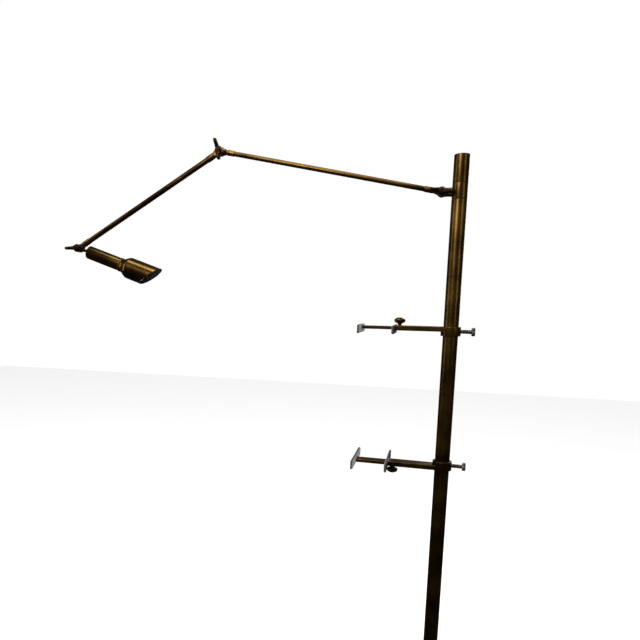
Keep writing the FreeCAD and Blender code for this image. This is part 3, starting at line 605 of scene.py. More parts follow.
def plain_steel(name):
    """Zinc-plated steel with a cloudy grey bloom."""
    made = Finish(name, metallic=1.0)
    bloom = made.steep(made.spots(70, 5), 0.35, 0.7)
    made.set(**{"Base Color": made.mix(bloom, (0.50, 0.50, 0.49), (0.30, 0.31, 0.32)),
                "Roughness": 0.28 + bloom * 0.22})
    made.relief(made.spots(300, 3), 0.1, 0.0002)
    return made.material


def rough_casting(name):
    """Painted grey iron as cast, with a grainy skin."""
    made = Finish(name, metallic=0.4)
    grain = made.spots(260, 5)
    made.set(**{"Base Color": made.mix(grain, (0.02, 0.02, 0.02), (0.07, 0.07, 0.07)),
                "Roughness": 0.6 + grain * 0.25})
    made.relief(grain, 0.7, 0.0008)
    return made.material


def pressed_felt(name):
    """Black pressed felt: short fibres in all directions."""
    made = Finish(name, specular_ior_level=0.15, sheen_weight=0.4)
    fibres = made.spots(500, 6, (1, 3, 1)) * 0.5 + made.spots(500, 6, (3, 1, 1)) * 0.5
    made.set(**{"Base Color": made.mix(fibres, (0.008, 0.008, 0.008), (0.07, 0.07, 0.07)),
                "Roughness": 0.85 + fibres * 0.1})
    made.relief(fibres, 0.6, 0.0006)
    return made.material


def black_plastic(name):
    """Moulded black plastic with a fine spark-eroded texture."""
    made = Finish(name, specular_ior_level=0.4)
    texture = made.spots(1100, 3)
    made.set(**{"Base Color": made.mix(texture, (0.010, 0.010, 0.011), (0.026, 0.026, 0.027)),
                "Roughness": 0.45 + texture * 0.2})
    made.relief(texture, 0.3, 0.0002)
    return made.material


def glazed_white(name):
    """Glazed ceramic of the lampholder, slightly mottled."""
    made = Finish(name, coat_weight=0.6, coat_roughness=0.08)
    mottling = made.spots(80, 4)
    made.set(**{"Base Color": made.mix(mottling, (0.76, 0.73, 0.66), (0.60, 0.57, 0.50)),
                "Roughness": 0.25 + mottling * 0.15})
    made.relief(mottling, 0.1, 0.0003)
    return made.material


def clear_glass(name):
    """The head's front glass: clear, with a faint dusty film."""
    made = Finish(name, transmission_weight=0.72, ior=1.45)
    film = made.steep(made.spots(50, 5), 0.45, 0.85)
    made.set(**{"Base Color": made.mix(film * 0.3, (0.95, 0.97, 0.97), (0.82, 0.86, 0.86)),
                "Roughness": 0.02 + film * 0.06})
    return made.material


def silvered_bulb(name):
    """The bulb: a silvered reflector seen through stippled glass, unlit."""
    made = Finish(name, metallic=0.35, coat_weight=0.8, coat_roughness=0.1)
    stipple = made.cells(420.0)
    made.set(**{"Base Color": made.mix(stipple, (0.62, 0.63, 0.63), (0.82, 0.83, 0.83)),
                "Roughness": 0.16 + stipple * 0.2})
    made.relief(stipple, 0.5, 0.0006)
    return made.material


FORGED_GRAIN = (6, 6, 6)

# Each finish is its maker and what differs from the maker's own settings. The brass finishes with a painted
# shade are darker copies of the one brass, as painted shade, and lighter copies, as painted highlight.
PAINTS = {
    "antique_brass": (antiqued, {}),
    # Painted shade: the pole, its turning ring and its cap are a darker copy of the same brass.
    "pole_brass": (antiqued, {"painted_shade": 0.08, "gloss": 0.29}),
    # Painted highlight: the knuckles and their sleeves are a lighter copy of the same brass.
    "knuckle_brass": (antiqued, {"grain": FORGED_GRAIN, "painted_shade": -0.35}),
    # Painted highlight: the neck ring is a lighter copy of the same brass.
    "neck_brass": (antiqued, {"grain": (2, 2, 60), "painted_shade": -0.45}),
    "arm_1_brass": (antiqued, {"turn": tilt(ARM_1)}),
    # Painted shade: arm 2's tube is a darker copy of the same brass.
    "arm_2_brass": (antiqued, {"turn": tilt(ARM_2), "painted_shade": 0.25}),
    "head_brass": (antiqued, {"turn": tilt(HEAD), "grain": (1, 1, 60), "gloss": 0.2}),
    "turned_brass": (antiqued, {"grain": (2, 2, 90)}),
    "bar_brass": (antiqued, {"turn": math.pi / 2}),
    "forged_brass": (antiqued, {"grain": FORGED_GRAIN}),
    # Painted shade: the knobs are a darker copy of the same brass.
    "knob_brass": (antiqued, {"grain": FORGED_GRAIN, "painted_shade": 0.15}),
    "dark_bronze": (dark_bronze, {}),
    "nickel": (nickel_plate, {}),
    "jaw_grey": (grey_paint, {}),
    "pad_grey": (soft_foam, {}),
    "inner_steel": (plain_steel, {}),
    "cast_weight": (rough_casting, {}),
    "felt": (pressed_felt, {}),
    "black_nylon": (black_plastic, {}),
    "lead_jacket": (black_plastic, {}),
    "holder_ceramic": (glazed_white, {}),
    "clear_glass": (clear_glass, {}),
    "bulb_glass": (silvered_bulb, {}),
}


def paint(name):
    """A finish by name, made the first time that it is asked for."""
    key = f"finish_{name}"
    if key not in bpy.data.materials:
        maker, settings = PAINTS[name]
        maker(key, **settings)
    return bpy.data.materials[key]


# ---------------------------------------------------------------- operators


class LampOperator(bpy.types.Operator):
    """Common ground of the lamp's operators: each builds its own pieces with the sizes of the scene."""

    bl_options = {"REGISTER", "UNDO"}

    def execute(self, context):
        self.build(context.scene.lamp_sizes)
        return {"FINISHED"}


class PaintFrame(LampOperator):
    """Give every node of the frame the finish of its own slot"""

    bl_idname = "lamp.paint_frame"
    bl_label = "Frame finishes"

    def build(self, sizes):
        for row in frame["record"]["subparts"]:
            node = frame["nodes"][row["node"]]
            for held in node.material_slots:
                held.material = paint(row["material_slot"])


class BuildBase(LampOperator):
    """Spun cover of the base, the flange at the pole's foot and the lead's gland"""

    bl_idname = "lamp.build_base"
    bl_label = "Base"

    def build(self, sizes):
        bore, rim = STAND.radii("base_cover")
        self.cover(bore, rim, sizes.tube_wall)
        self.flange(bore)
        self.gland(rim)

    def cover(self, bore, rim, wall):
        """A spun shell: up its rim, over a shoulder, up a long slope to the flat round the flange, and back
        again on the inside of its wall."""
        foot, top = STAND.span("base_cover")
        crest = STAND.radii("pole_flange")[1] + 0.004
        shoulder, fall = foot + 0.011, 0.0093
        slope_foot, slope_foot_inside = 0.0229, 0.0213
        outside = [(foot, rim), (shoulder, rim), (shoulder + 0.005, rim - 0.003), (slope_foot, rim - 0.012),
                   (top - fall, crest * 2), (top, crest), (top, bore)]
        inside = [(top - wall, bore), (top - wall, crest), (top - fall - wall, crest * 2),
                  (slope_foot_inside, rim - 0.013), (shoulder + 0.004, rim - 0.003 - wall),
                  (shoulder, rim - wall), (foot, rim - wall)]
        soft = [0.0004, 0.004, 0.003, 0.012, 0.03, 0.005, 0.0003]
        profile = rounded(outside + inside, soft + soft[::-1], 9)
        piece("cover", "stand", "turned_brass", [turned(STAND, profile, True, 192)],
              ["base_cover"])

    def flange(self, bore):
        """A turned ring: a short upright rim, then a slope that rises to the pole."""
        foot, top = STAND.span("pole_flange")
        rim = STAND.radii("pole_flange")[1]
        corners = [(foot, bore), (foot, rim), (foot + 0.004, rim), (foot + 0.007, rim - 0.003),
                   (top - 0.002, bore + 0.005), (top, bore + 0.003), (top, bore)]
        profile = rounded(corners, [0.0003, 0.001, 0.002, 0.004, 0.003, 0.001, 0.0003], 8)
        piece("foot_flange", "stand", "turned_brass", [turned(STAND, profile, True, 128)],
              ["pole_flange"])

    def gland(self, seat):
        """A shank through the cover's rim, a collar seated on it and a tapered snout."""
        low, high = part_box("cable_gland")
        line = Place((0, 0, (low.z + high.z) / 2), (0, 1, 0), (1, 0, 0))
        start, end = line.span("cable_gland")
        bore, collar = line.radii("cable_gland")
        shank, snout, tip = 0.00395, 0.004, 0.0034
        collar_end = seat + 0.0025
        corners = [(start, bore), (start, shank), (seat, shank), (seat, collar), (collar_end, collar),
                   (collar_end, snout), (end, tip), (end, bore)]
        profile = rounded(corners, [0.0002, 0.0004, 0.0, 0.0006, 0.0006, 0.0005, 0.0006, 0.0003])
        piece("gland", "stand", "black_nylon", [turned(line, profile, True, 48)],
              ["cable_gland"])


class BuildPole(LampOperator):
    """Pole, top cap and the ring that turns between them"""

    bl_idname = "lamp.build_pole"
    bl_label = "Pole and swivel"

    def build(self, sizes):
        edge = sizes.edge
        outer = STAND.radii("pole_tube")[1]
        # The pole and the turning ring take the darker copy of the brass, a painted shade; so does the cap below.
        for name, node, body in (("pole", "pole_tube", "stand"), ("turning_ring", "swivel_ring", "swivel")):
            start, end = STAND.span(node)
            bore = STAND.radii(node)[0]
            piece(name, body, "pole_brass",
                  [ring(STAND, start, end, bore, outer, edge, 128)], [node])
        start, end = STAND.span("top_cap")
        outer = STAND.radii("top_cap")[1]
        bore, inner_top = outer - 0.0015, end - sizes.tube_wall
        corners = [(inner_top, 0), (inner_top, bore), (start, bore), (start, outer), (end, outer), (end, 0)]
        cap = solid(STAND, corners, [0, 0.0005, edge * 0.5, edge, sizes.soft_edge, 0], 128)
        piece("cap", "stand", "pole_brass", [cap], ["top_cap"])


def lug_disc(hinge, inner_face, facing):
    """The round half of a knuckle: a ring about the hinge's own axis, from its inner face outwards."""
    low, high = sorted((inner_face * facing, (inner_face + LUG_THICKNESS) * facing))
    return ring(Place(hinge, (0, 1, 0), (1, 0, 0)), low, high, BOLT_HOLE, LUG_RADIUS, 0.0009, 72)


def lug_neck(place, end, round_radius, middle):
    """A neck that starts as a flat bar beside the other lug and ends round: its section is the curve
    |s|^n + |u|^n = 1 with n falling from 5 to 2 as its half-sizes and its middle ease to the round end."""
    share = np.linspace(0, 1, 26)[:, None]
    ease = smooth(np.clip((share - 0.42) / 0.5, 0, 1))
    lean = np.clip(share / 0.75, 0, 1) ** 1.5
    half_side = WEB_THICKNESS / 2 * (1 - ease) + round_radius * ease
    half_up = NECK_HALF_HEIGHT * (1 - lean) + round_radius * lean
    side, up = section(half_side, half_up, 2 / (5 - 3 * ease))
    return capped(place.put(NECK_START + (end - NECK_START) * share, middle * (1 - ease) + side, up))


class BuildKnuckles(LampOperator):
    """Forged knuckle halves with their sleeves, at both ends of the arm tubes, on the ring and on the head"""

    bl_idname = "lamp.build_knuckles"
    bl_label = "Knuckles"

    def build(self, sizes):
        back_1 = Place(ELBOW, SHOULDER - ELBOW)
        back_2 = Place(WRIST, ELBOW - WRIST)
        for arm, inner, outer in (("arm_1", ARM_1, back_1), ("arm_2", ARM_2, back_2)):
            for node, place in ((f"{arm}_inner_lug", inner), (f"{arm}_outer_lug", outer)):
                tube_radius = place.radii(f"{arm}_tube")[1]
                neck_radius = tube_radius + SLEEVE_WALL - 0.0004
                # The knuckle halves take the lighter copy of the brass, a painted highlight.
                self.half(node, arm, place, "knuckle_brass", SLEEVE_START + 0.0012, neck_radius)
                self.sleeve(node, arm, place, tube_radius)
        self.half("head_lug", "head", HEAD, "forged_brass", 0.018, STEM_RADIUS)
        self.stem()
        self.fixed_lug()

    def half(self, node, body, place, finish, neck_end, neck_radius):
        """A disc and its neck, melted together. A near half lies on the -Y side of its hinge's middle."""
        near = place.parts(node)[1].mean() * place.side[1] < 0
        facing, inner_face = (-1, NEAR_FACE) if near else (1, FAR_FACE)
        middle = (inner_face + WEB_THICKNESS / 2) * facing * place.side[1]
        shells = [lug_disc(place.origin, inner_face, facing), lug_neck(place, neck_end, neck_radius, middle)]
        forged(node + "_forging", body, finish, shells, [node])

    def sleeve(self, node, body, place, tube_radius):
        """The sleeve that holds a tube's end, with a turned bead near its closed end."""
        start, end = SLEEVE_START, place.span(node)[1]
        outer, socket = tube_radius + SLEEVE_WALL, tube_radius + CLEARANCE
        floor, lead_hole = end - 0.014, 0.0027
        corners = [(start, lead_hole), (start, outer), (end, outer), (end, socket), (floor, socket),
                   (floor, lead_hole)]
        profile = rounded(corners, [0.0003, 0.0022, 0.0006, 0.0002, 0.0, 0.0])
        bead_at, bead_half = 0.0245, 0.0012
        bead = [(bead_at - bead_half, outer - 0.001), (bead_at, outer + 0.0009),
                (bead_at + bead_half, outer - 0.001)]
        # The sleeve takes the lighter copy of the brass, a painted highlight.
        piece(node + "_sleeve", body, "knuckle_brass",
              [turned(place, profile, True, 72), turned(place, rounded(bead, 0.0008), True, 72)])

    def stem(self):
        """The round stem that carries the head on its knuckle half."""
        start, end = 0.0165, HEAD.span("head_lug")[1]
        corners = [(start, 0), (start, STEM_RADIUS), (end, STEM_RADIUS), (end, 0)]
        piece("head_lug_stem", "head", "forged_brass",
              [solid(HEAD, corners, [0, 0.0004, 0.0006, 0], 48)])

    def fixed_lug(self):
        """The shoulder's fixed lug, a boxy neck that grows out of the turning ring."""
        line = Place(SHOULDER, (1, 0, 0), (0, 1, 0))
        root = -SHOULDER[0] - 0.0142
        share = np.linspace(0, 1, 24)
        along, half_side, half_up = (np.interp(share, np.linspace(0, 1, 4), row)[:, None] for row in (
            (NECK_START, 0.013, 0.020, root),
            (0.0045, 0.0042, 0.0046, 0.0052),
            (0.0102, 0.0100, 0.0102, 0.0112),
        ))
        side, up = section(half_side, half_up, 0.4)
        neck = capped(line.put(along, 0.0047 + side, up))
        forged("fixed_lug_forging", "swivel", "forged_brass",
               [lug_disc(SHOULDER, FAR_FACE, 1), neck])


class BuildArm(LampOperator):
    """The two arm tubes"""

    bl_idname = "lamp.build_arm"
    bl_label = "Arm tubes"

    def build(self, sizes):
        for number, place in ((1, ARM_1), (2, ARM_2)):
            node = f"arm_{number}_tube"
            start, end = place.span(node)
            bore, outer = place.radii(node)
            # Arm 2's finish is a darker copy of the brass, a painted shade.
            piece(f"arm_{number}_pipe", f"arm_{number}", f"arm_{number}_brass",
                  [ring(place, start, end, bore, outer, 0.0003, 72)], [node])


class BuildHinges(LampOperator):
    """Bolts and wing nuts of the three knuckles"""

    bl_idname = "lamp.build_hinges"
    bl_label = "Bolts and wing nuts"

    def build(self, sizes):
        for name, body in HINGES.items():
            line = Place(hinge_point(name), (0, 1, 0), (1, 0, 0))
            self.bolt(name, line, body)
            self.wing_nut(name, line)

    def bolt(self, name, line, body):
        """A carriage bolt: r = R cos q on its domed head, q from 0 to a quarter turn, with a turned tip."""
        node = f"{name}_bolt"
        start, end = line.span(node)
        head = line.radii(node)[1]
        dome, rim, shank = 0.004, 0.001, 0.003
        seat = end - dome
        q = np.linspace(0, math.pi / 2, 9)
        cap = np.stack((seat + rim + (dome - rim) * np.sin(q), head * np.cos(q)), -1)
        cap[-1, 1] = 0
        stem = [(start, 0), (start, 0.0022), (start + 0.0008, shank), (seat, shank), (seat, head - 0.0004)]
        piece(node + "_turned", body, "dark_bronze",
              [turned(line, np.vstack((stem, cap)), False, 64)], [node])

    def wing_nut(self, name, line):
        """A forged wing nut: a tapered hub and two wings that point to where the frame's own nut is widest."""
        node = f"{name}_wing_nut"
        along, side, up = line.parts(node)
        seat = along.max()
        deep = seat - along.min()
        reach = np.hypot(side, up)
        tip = np.argmax(reach)
        outwards = np.array([side[tip], up[tip]]) / reach[tip]
        hub, hub_end = 0.009, seat - 0.011
        corners = [(seat, BOLT_HOLE), (seat, hub), (seat - 0.0025, hub), (hub_end, hub * 0.72),
                   (hub_end, BOLT_HOLE)]
        shells = [turned(line, rounded(corners, [0.0003, 0.0006, 0.0012, 0.0018, 0.0005]), True, 72)]
        shells += [self.wing(line, seat, deep, reach[tip], outwards, facing) for facing in (1, -1)]
        forged(node + "_forging", f"{name}_nut", "dark_bronze", shells, [node], 5)

    def wing(self, line, seat, deep, span, outwards, facing):
        """One wing. Its middle line rises evenly while it runs outwards, and its section is an ellipse whose
        long half-size swells as s^2 (3 - 2s) and closes at the tip as sqrt(1 - t^2)."""
        share = np.linspace(0, 1, 40)[:, None]
        angle = around(40)
        root, foot, tip_gap = 0.0045, 0.0058, 0.0002
        close = np.sqrt(1 - np.clip((share - 0.72) / 0.28, 0, 1) ** 2)
        half_deep = (0.0046 + 0.0052 * smooth(np.clip(share / 0.7, 0, 1))) * close
        half_thick = (0.0056 - 0.0020 * share) * np.clip(close * 1.5, 0, 1)
        spread = facing * (root + (span - root - tip_gap) * share)
        depth = foot + (deep * 0.53 - foot) * share + half_deep * np.cos(angle)
        across = half_thick * np.sin(angle)
        return capped(line.put(seat - np.minimum(depth, deep - 0.0003),
                               spread * outwards[0] - across * outwards[1],
                               spread * outwards[1] + across * outwards[0]))


class BuildHead(LampOperator):
    """Head tube, neck ring, flared nose with its slanted mouth, retaining ring, glass and bulb"""

    bl_idname = "lamp.build_head"
    bl_label = "Lamp head"

    def build(self, sizes):
        wall, edge = sizes.tube_wall, sizes.edge
        rear, tube_end = HEAD.span("head_tube")
        hole, radius = HEAD.radii("head_tube")
        corners = [(rear, hole), (rear, radius), (tube_end, radius), (tube_end, radius - wall),
                   (rear + wall, radius - wall), (rear + wall, hole)]
        profile = rounded(corners, [edge * 0.5, 0.0024, edge * 0.6, edge * 0.4, 0.001, edge * 0.4], 8)
        piece("head_barrel", "head", "head_brass", [turned(HEAD, profile, True, 128)],
              ["head_tube"])
        self.neck(tube_end, sizes.groove)
        self.nose(radius, wall)
        self.glass()
        self.bulb(sizes)

    def neck(self, tube_end, groove):
        """A collar ring with two turned grooves, and the spigots that plug the tube and the nose."""
        start, end = HEAD.span("neck_ring")
        bore, outer = HEAD.radii("neck_ring")
        nose_foot = HEAD.span("nose_shell")[0]
        spigot, groove_half = bore + 0.0013, 0.0004
        cuts = []
        for share in (0.3, 0.7):
            at = tube_end + (nose_foot - tube_end) * share
            cuts += [(at - groove_half, outer), (at, outer - groove), (at + groove_half, outer)]
        corners = [(start, bore), (start, spigot), (tube_end, spigot), (tube_end, outer), *cuts,
                   (nose_foot, outer), (nose_foot, spigot), (end, spigot), (end, bore)]
        # The neck ring takes the lighter copy of the brass, a painted highlight.
        piece("neck_collar", "head", "neck_brass",
              [turned(HEAD, rounded(corners, 0.0003, 4), True, 128)], ["neck_ring"])

    def nose(self, tube_radius, wall):
        """The nose. Its wall's radius eases from the tube's to the nose's own over the flare, r = r0 +
        (r1 - r0) e(a), e(a) = a^2 (3 - 2a), and its mouth lies on the plane a = m + k u, so the rim is a
        slanted ellipse."""
        columns, flare_rows, body_rows, flare = 160, 22, 24, 0.026
        foot = HEAD.span("nose_shell")[0]
        radius = HEAD.radii("nose_shell")[1]
        along, _, up = HEAD.parts("nose_shell")
        long_side = along.max()
        short_side = along[up < -radius * 0.97].max()
        height = np.sin(around(columns))[None, :]
        mouth = (long_side + short_side) / 2 + (long_side - short_side) / 2 * height
        share = np.linspace(0, 1, flare_rows)
        flare_along = foot + flare * share[:, None] + 0 * height
        body_along = foot + flare + (mouth - foot - flare) * np.linspace(0, 1, body_rows)[1:, None]
        outside_along = np.vstack((flare_along, body_along))
        outside_radius = np.concatenate((tube_radius + (radius - tube_radius) * smooth(share),
                                         np.full(body_rows - 1, radius)))
        q = np.linspace(0, math.pi, 9)[1:-1]
        lip_along = mouth - 0.0001 + wall / 2 * np.sin(q)[:, None] * 0.6
        lip_radius = radius - wall / 2 + wall / 2 * np.cos(q)
        all_along = np.vstack((outside_along, np.minimum(lip_along, long_side), outside_along[::-1]))
        all_radius = np.concatenate((outside_radius, lip_radius, outside_radius[::-1] - wall))[:, None]
        piece("nose", "head", "head_brass",
              [spun(HEAD, all_along, all_radius, columns, True)], ["nose_shell"])
        # Painted shade: a thin black sleeve darkens the inside of the nose.
        self.painted_shade_sleeve(mouth, radius - wall - 0.0001, columns)

    def painted_shade_sleeve(self, mouth, bore, columns):
        """A thin black sleeve inside the nose, from just in front of the glass to just inside the mouth.
        It is painted shade, which darkens the inside of the nose.
        """
        thick, rows = 0.0003, 12
        behind = HEAD.span("front_glass")[1] + 0.0026
        along = behind + (mouth - 0.0008 - behind) * np.linspace(0, 1, rows)[:, None]
        radius = np.repeat([bore, bore - thick], rows)[:, None]
        piece("nose_painted_shade_sleeve", "head", "black_nylon",
              [spun(HEAD, np.vstack((along, along[::-1])), radius, columns, True)])

    def glass(self):
        """The front glass and the ring that holds it."""
        start, end = HEAD.span("front_glass")
        radius = HEAD.radii("front_glass")[1]
        disc = solid(HEAD, [(start, 0), (start, radius), (end, radius), (end, 0)], [0, 0.0003, 0.0003, 0], 96)
        piece("cover_glass", "head", "clear_glass", [disc], ["front_glass"])
        start, end = HEAD.span("glass_retainer")
        bore, outer = HEAD.radii("glass_retainer")
        piece("retaining_ring", "head", "dark_bronze",
              [ring(HEAD, start, end, bore, outer, 0.0009, 96)], ["glass_retainer"])

    def bulb(self, sizes):
        """The reflector bulb: r = R(a)(1 - f |cos(n T / 2)|) on its bowl, so that facets run down it, and a
        lens with a low dome at its front."""
        columns, rows, cap, facet_depth = 192, 90, 0.007, 0.012
        start, end = HEAD.span("reflector_bulb")
        face = HEAD.radii("reflector_bulb")[1]
        at = np.array([0, 0.0, 0.02, 0.36, 0.44, 0.58, 0.74, 0.86, 0.93, 0.96, 0.985, 1.0])
        far = np.array([0, cap - 0.001, cap, cap, cap * 1.2, face * 0.7, face * 0.93, face * 0.99, face,
                        face * 0.93, face * 0.5, 0])
        where = np.concatenate((at[:1], np.linspace(0, 1, rows)[1:-1], at[-1:]))
        profile = np.interp(where, at, far)
        bowl = np.clip((where - 0.45) / 0.2, 0, 1) * np.clip((0.95 - where) / 0.1, 0, 1)
        facets = np.abs(np.cos(sizes.reflector_facets * around(columns) / 2))[None, :]
        radius = profile[:, None] * (1 - facet_depth * bowl[:, None] * facets)
        along = (start + (end - start) * where)[:, None]
        piece("bulb", "head", "bulb_glass", [spun(HEAD, along, radius, columns)],
              ["reflector_bulb"])


class BuildBrackets(LampOperator):
    """Both brackets: bush, collar, thumb screw, bars, padded jaws and clamping knob"""

    bl_idname = "lamp.build_brackets"
    bl_label = "Brackets"

    def build(self, sizes):
        for name in BRACKETS:
            place = bracket_place(name)
            self.collar(name, sizes)
            self.bars(name, place, sizes)
            self.jaws(name, place, sizes)
            self.thumb_screw(name, sizes)
            self.knob(name, place, sizes)

    def collar(self, name, sizes):
        """A collar with a recess at each end for its bush's flanges and a hole for its screw; its bush."""
        low, high = STAND.span(f"{name}_collar")
        middle, half = (low + high) / 2, (high - low) / 2
        outer = STAND.radii(f"{name}_collar")[1]
        bore, flange = STAND.radii(f"{name}_bush")
        sleeve = bore + 0.002 - CLEARANCE
        recess, deep, screw_hole, lip = flange + 0.0003, 0.0015, 0.0049, 0.0012
        corners = [(low, recess), (low, outer), (high, outer), (high, recess), (high - deep, recess),
                   (high - deep, sleeve + CLEARANCE), (low + deep, sleeve + CLEARANCE), (low + deep, recess)]
        radii = [0.0004, sizes.soft_edge, sizes.soft_edge, 0.0004, 0, 0, 0, 0]
        made = piece(f"{name}_clamp_collar", f"{name}_bracket", "turned_brass",
                     [turned(STAND, rounded(corners, radii, 7), True, 128)], [f"{name}_collar"])
        bored(made, Place((0, 0, middle), (1, 0, 0)), 0.01, 0.03, screw_hole)
        low, high = middle - half, middle + half
        corners = [(low, bore), (low, flange), (low + lip, flange), (low + lip, sleeve),
                   (high - lip, sleeve), (high - lip, flange), (high, flange), (high, bore)]
        piece(f"{name}_bushing", f"{name}_slider", "black_nylon",
              [turned(STAND, rounded(corners, 0.0003, 4), True, 96)], [f"{name}_bush"])

    def bars(self, name, place, sizes):
        """Rounded rectangular tubes. The outer bar's inner end follows the collar, a = sqrt(R^2 - s^2)."""
        wall, soft, edge = sizes.bar_wall, sizes.soft_edge, sizes.edge
        node = f"{name}_outer_bar"
        left, right, low, high = place.widths(node)
        end = place.span(node)[1]
        collar = STAND.radii(f"{name}_collar")[1]
        middle = (low + high) / 2
        sunk, step, taper = 0.0002, 0.001, 0.02
        out_loop = fine_loop(box_loop(right - left, high - low, soft), 72)
        in_loop = out_loop * [1 - 2 * wall / (right - left), 1 - 2 * wall / (high - low)]
        start_out, start_in = (np.sqrt(collar ** 2 - loop[:, 0] ** 2) - sunk for loop in (out_loop, in_loop))
        rows = [(start_out, out_loop), (start_out + step, out_loop), (end - edge, out_loop),
                (end, out_loop * (1 - edge / taper)), (end, in_loop), (end - step, in_loop),
                (start_in + step, in_loop), (start_in, in_loop)]
        made = piece(f"{name}_outer_bar_tube", f"{name}_bracket", "bar_brass",
                     [skin(lofted(place, rows, middle), True)], [node])
        knob = np.array(JOINTS[f"{name}_knob_screw"]["pos_m"])
        bored(made, Place(knob, place.up, (0, 1, 0)), middle, high + 0.002, BOLT_HOLE)
        node = f"{name}_inner_bar"
        left, right, low, high = place.widths(node)
        start, end = place.span(node)
        loop = fine_loop(box_loop(right - left, high - low, 0.0012), 72)
        small = 1 - 0.0016 / (high - low)
        rows = [(start, loop * 0), (start, loop * small), (start + 0.0006, loop), (end - 0.0002, loop),
                (end, loop * small), (end, loop * 0)]
        piece(f"{name}_inner_bar_rod", f"{name}_jaw", "bar_brass",
              [skin(lofted(place, rows, (low + high) / 2))], [node])

    def jaws(self, name, place, sizes):
        """Jaw plates with rounded corners, each with a crowned foam pad on the side that faces the other jaw.
        The moving pad is a mirror image of the fixed one, so it is made in a place that faces the other way."""
        bar = place.widths(f"{name}_inner_bar")
        window_centre = np.array([(bar[0] + bar[1]) / 2, (bar[2] + bar[3]) / 2])
        wide, tall = bar[1] - bar[0], bar[3] - bar[2]
        for kind, body, room, facing in (("fixed", f"{name}_bracket", 0.0003, 1),
                                         ("moving", f"{name}_jaw", 0.0001, -1)):
            node = f"{name}_{kind}_jaw"
            left, right, low, high = place.widths(node)
            centre = np.array([(left + right) / 2, (low + high) / 2])
            start, end = place.span(node)
            loop = box_loop(right - left, high - low, 0.003) + centre
            hole = box_loop(wide + room, tall + room, 0.0002, 2) if kind == "fixed" else None
            plate = slab(place, start, end - start, loop, window_centre, hole, sizes.edge)
            piece(f"{name}_{kind}_plate", body, "jaw_grey", [plate], [node])
            node = f"{name}_{kind}_pad"
            left, right, low, high = place.widths(node)
            start, end = sorted(facing * at for at in place.span(node))
            mirror = np.array([facing, 1])
            loop = (box_loop(right - left, high - low, 0.002) + centre) * mirror
            hole = box_loop(wide + room, tall + room, 0.0003, 2)
            front = Place(place.origin, facing * place.along, facing * place.side)
            pad = slab(front, start, end - start, loop, window_centre * mirror, hole, 0.0009,
                       sizes.pad_crown, 10)
            made = piece(f"{name}_{kind}_foam", body, "pad_grey", [pad], [node], 50)

    def thumb_screw(self, name, sizes):
        """A screw with a knurled head: its shank's radius is R - d(1 - |2 frac(a / p - T / 2pi) - 1|), its
        head's radius is R - k |sin(n T / 2)|, eased off at both rims."""
        columns, shank, head_tall, plain, fade_over = 176, 0.00485, 0.008, 0.006, 0.002
        height = JOINTS[f"{name}_screw_turn"]["pos_m"][2]
        line = Place((0, 0, height), (1, 0, 0))
        node = f"{name}_thumb_screw"
        start, end = line.span(node)
        head = line.radii(node)[1]
        head_start = end - head_tall
        plain_end = head_start - plain
        angle = around(columns)
        collar_rows = [plain_end + 0.0008, head_start - 0.0012, head_start - 0.0002, head_start]
        at = np.concatenate((np.linspace(start, plain_end, 150), collar_rows))
        turn = at[:, None] / sizes.thread_pitch - angle / TURN
        thread = 1 - np.abs(2 * (turn % 1) - 1)
        fade = np.clip((at - start) / fade_over, 0, 1) * np.clip((plain_end - at) / fade_over, 0, 1)
        lead_in = np.clip(1 - (at[:, None] - start) / 0.001, 0, 1)
        shank_radius = shank - sizes.thread_depth * thread * fade[:, None] - 0.0006 * lead_in
        shank_radius[-2:] += 0.0007
        rim = np.array([0, 0.0002, 0.0008, 0.0016, 0.004, 0.0064, 0.0072, 0.0078, head_tall])
        inset = np.array([0.0012, 0.0006, 0.0002, 0, 0, 0, 0.0002, 0.0006, 0.0012])[:, None]
        bite = np.clip(np.minimum(rim, head_tall - rim) / 0.0012, 0, 1)[:, None]
        teeth = np.abs(np.sin(sizes.knurl_teeth * angle / 2))
        head_radius = head - inset - sizes.knurl_depth * (1 - teeth) * bite
        dish = np.array([0.7, 0.55, 0.5, 0.25, 0.0])[:, None]
        dish_at = np.array([0.0, 0.0, -0.0005, -0.0005, -0.0005])
        along = np.concatenate(([start], at, head_start + rim, end + dish_at))[:, None]
        radius = np.vstack((0 * angle, shank_radius, head_radius, dish * head + 0 * angle))
        piece(f"{name}_knurled_screw", f"{name}_screw", "nickel",
              [spun(line, along, radius, columns)], [node], 28)

    def knob(self, name, place, sizes):
        """A mushroom knob on a stud: r = R(a) - d g(a) sin^2(n T / 2), with g(a) = exp(-((a - m) / w)^2), so
        that it is fluted round its widest part only."""
        columns, stud, neck, flute_half = 144, 0.003, 0.0045, 0.0032
        node = f"{name}_knob"
        line = Place(JOINTS[f"{name}_knob_screw"]["pos_m"], place.up, (0, 1, 0))
        start, end = line.span(node)
        wide = line.radii(node)[1]
        neck_foot, disc = end - 0.019, end - 0.014
        corners = [(start, 0), (start, stud), (neck_foot, stud), (neck_foot, neck), (disc - 0.0012, neck),
                   (disc, 0.0062), (disc + 0.0018, wide * 0.8), (disc + 0.005, wide * 0.98),
                   (disc + 0.0078, wide), (disc + 0.0106, wide * 0.92), (disc + 0.0124, wide * 0.66),
                   (end, wide * 0.4), (end, 0)]
        soft = [0, 0.0003, 0.0001, 0.0004, 0.0008, 0.002, 0.003, 0.003, 0.003, 0.003, 0.003, 0.003, 0]
        profile = rounded(corners, soft, 7)
        profile = profile[np.append(True, np.linalg.norm(np.diff(profile, axis=0), axis=1) > 1e-9)]
        along, plain = profile[:, :1], profile[:, 1:]
        grip = np.exp(-((along - disc - 0.0066) / flute_half) ** 2)
        flutes = np.sin(sizes.knob_flutes * around(columns) / 2) ** 2
        radius = plain - sizes.knob_flute_depth * grip * flutes * (plain > 0.008)
        # The knob takes the darker copy of the brass, a painted shade.
        piece(f"{name}_fluted_knob", f"{name}_knob_turn", "knob_brass",
              [spun(line, along, radius, columns)], [node])


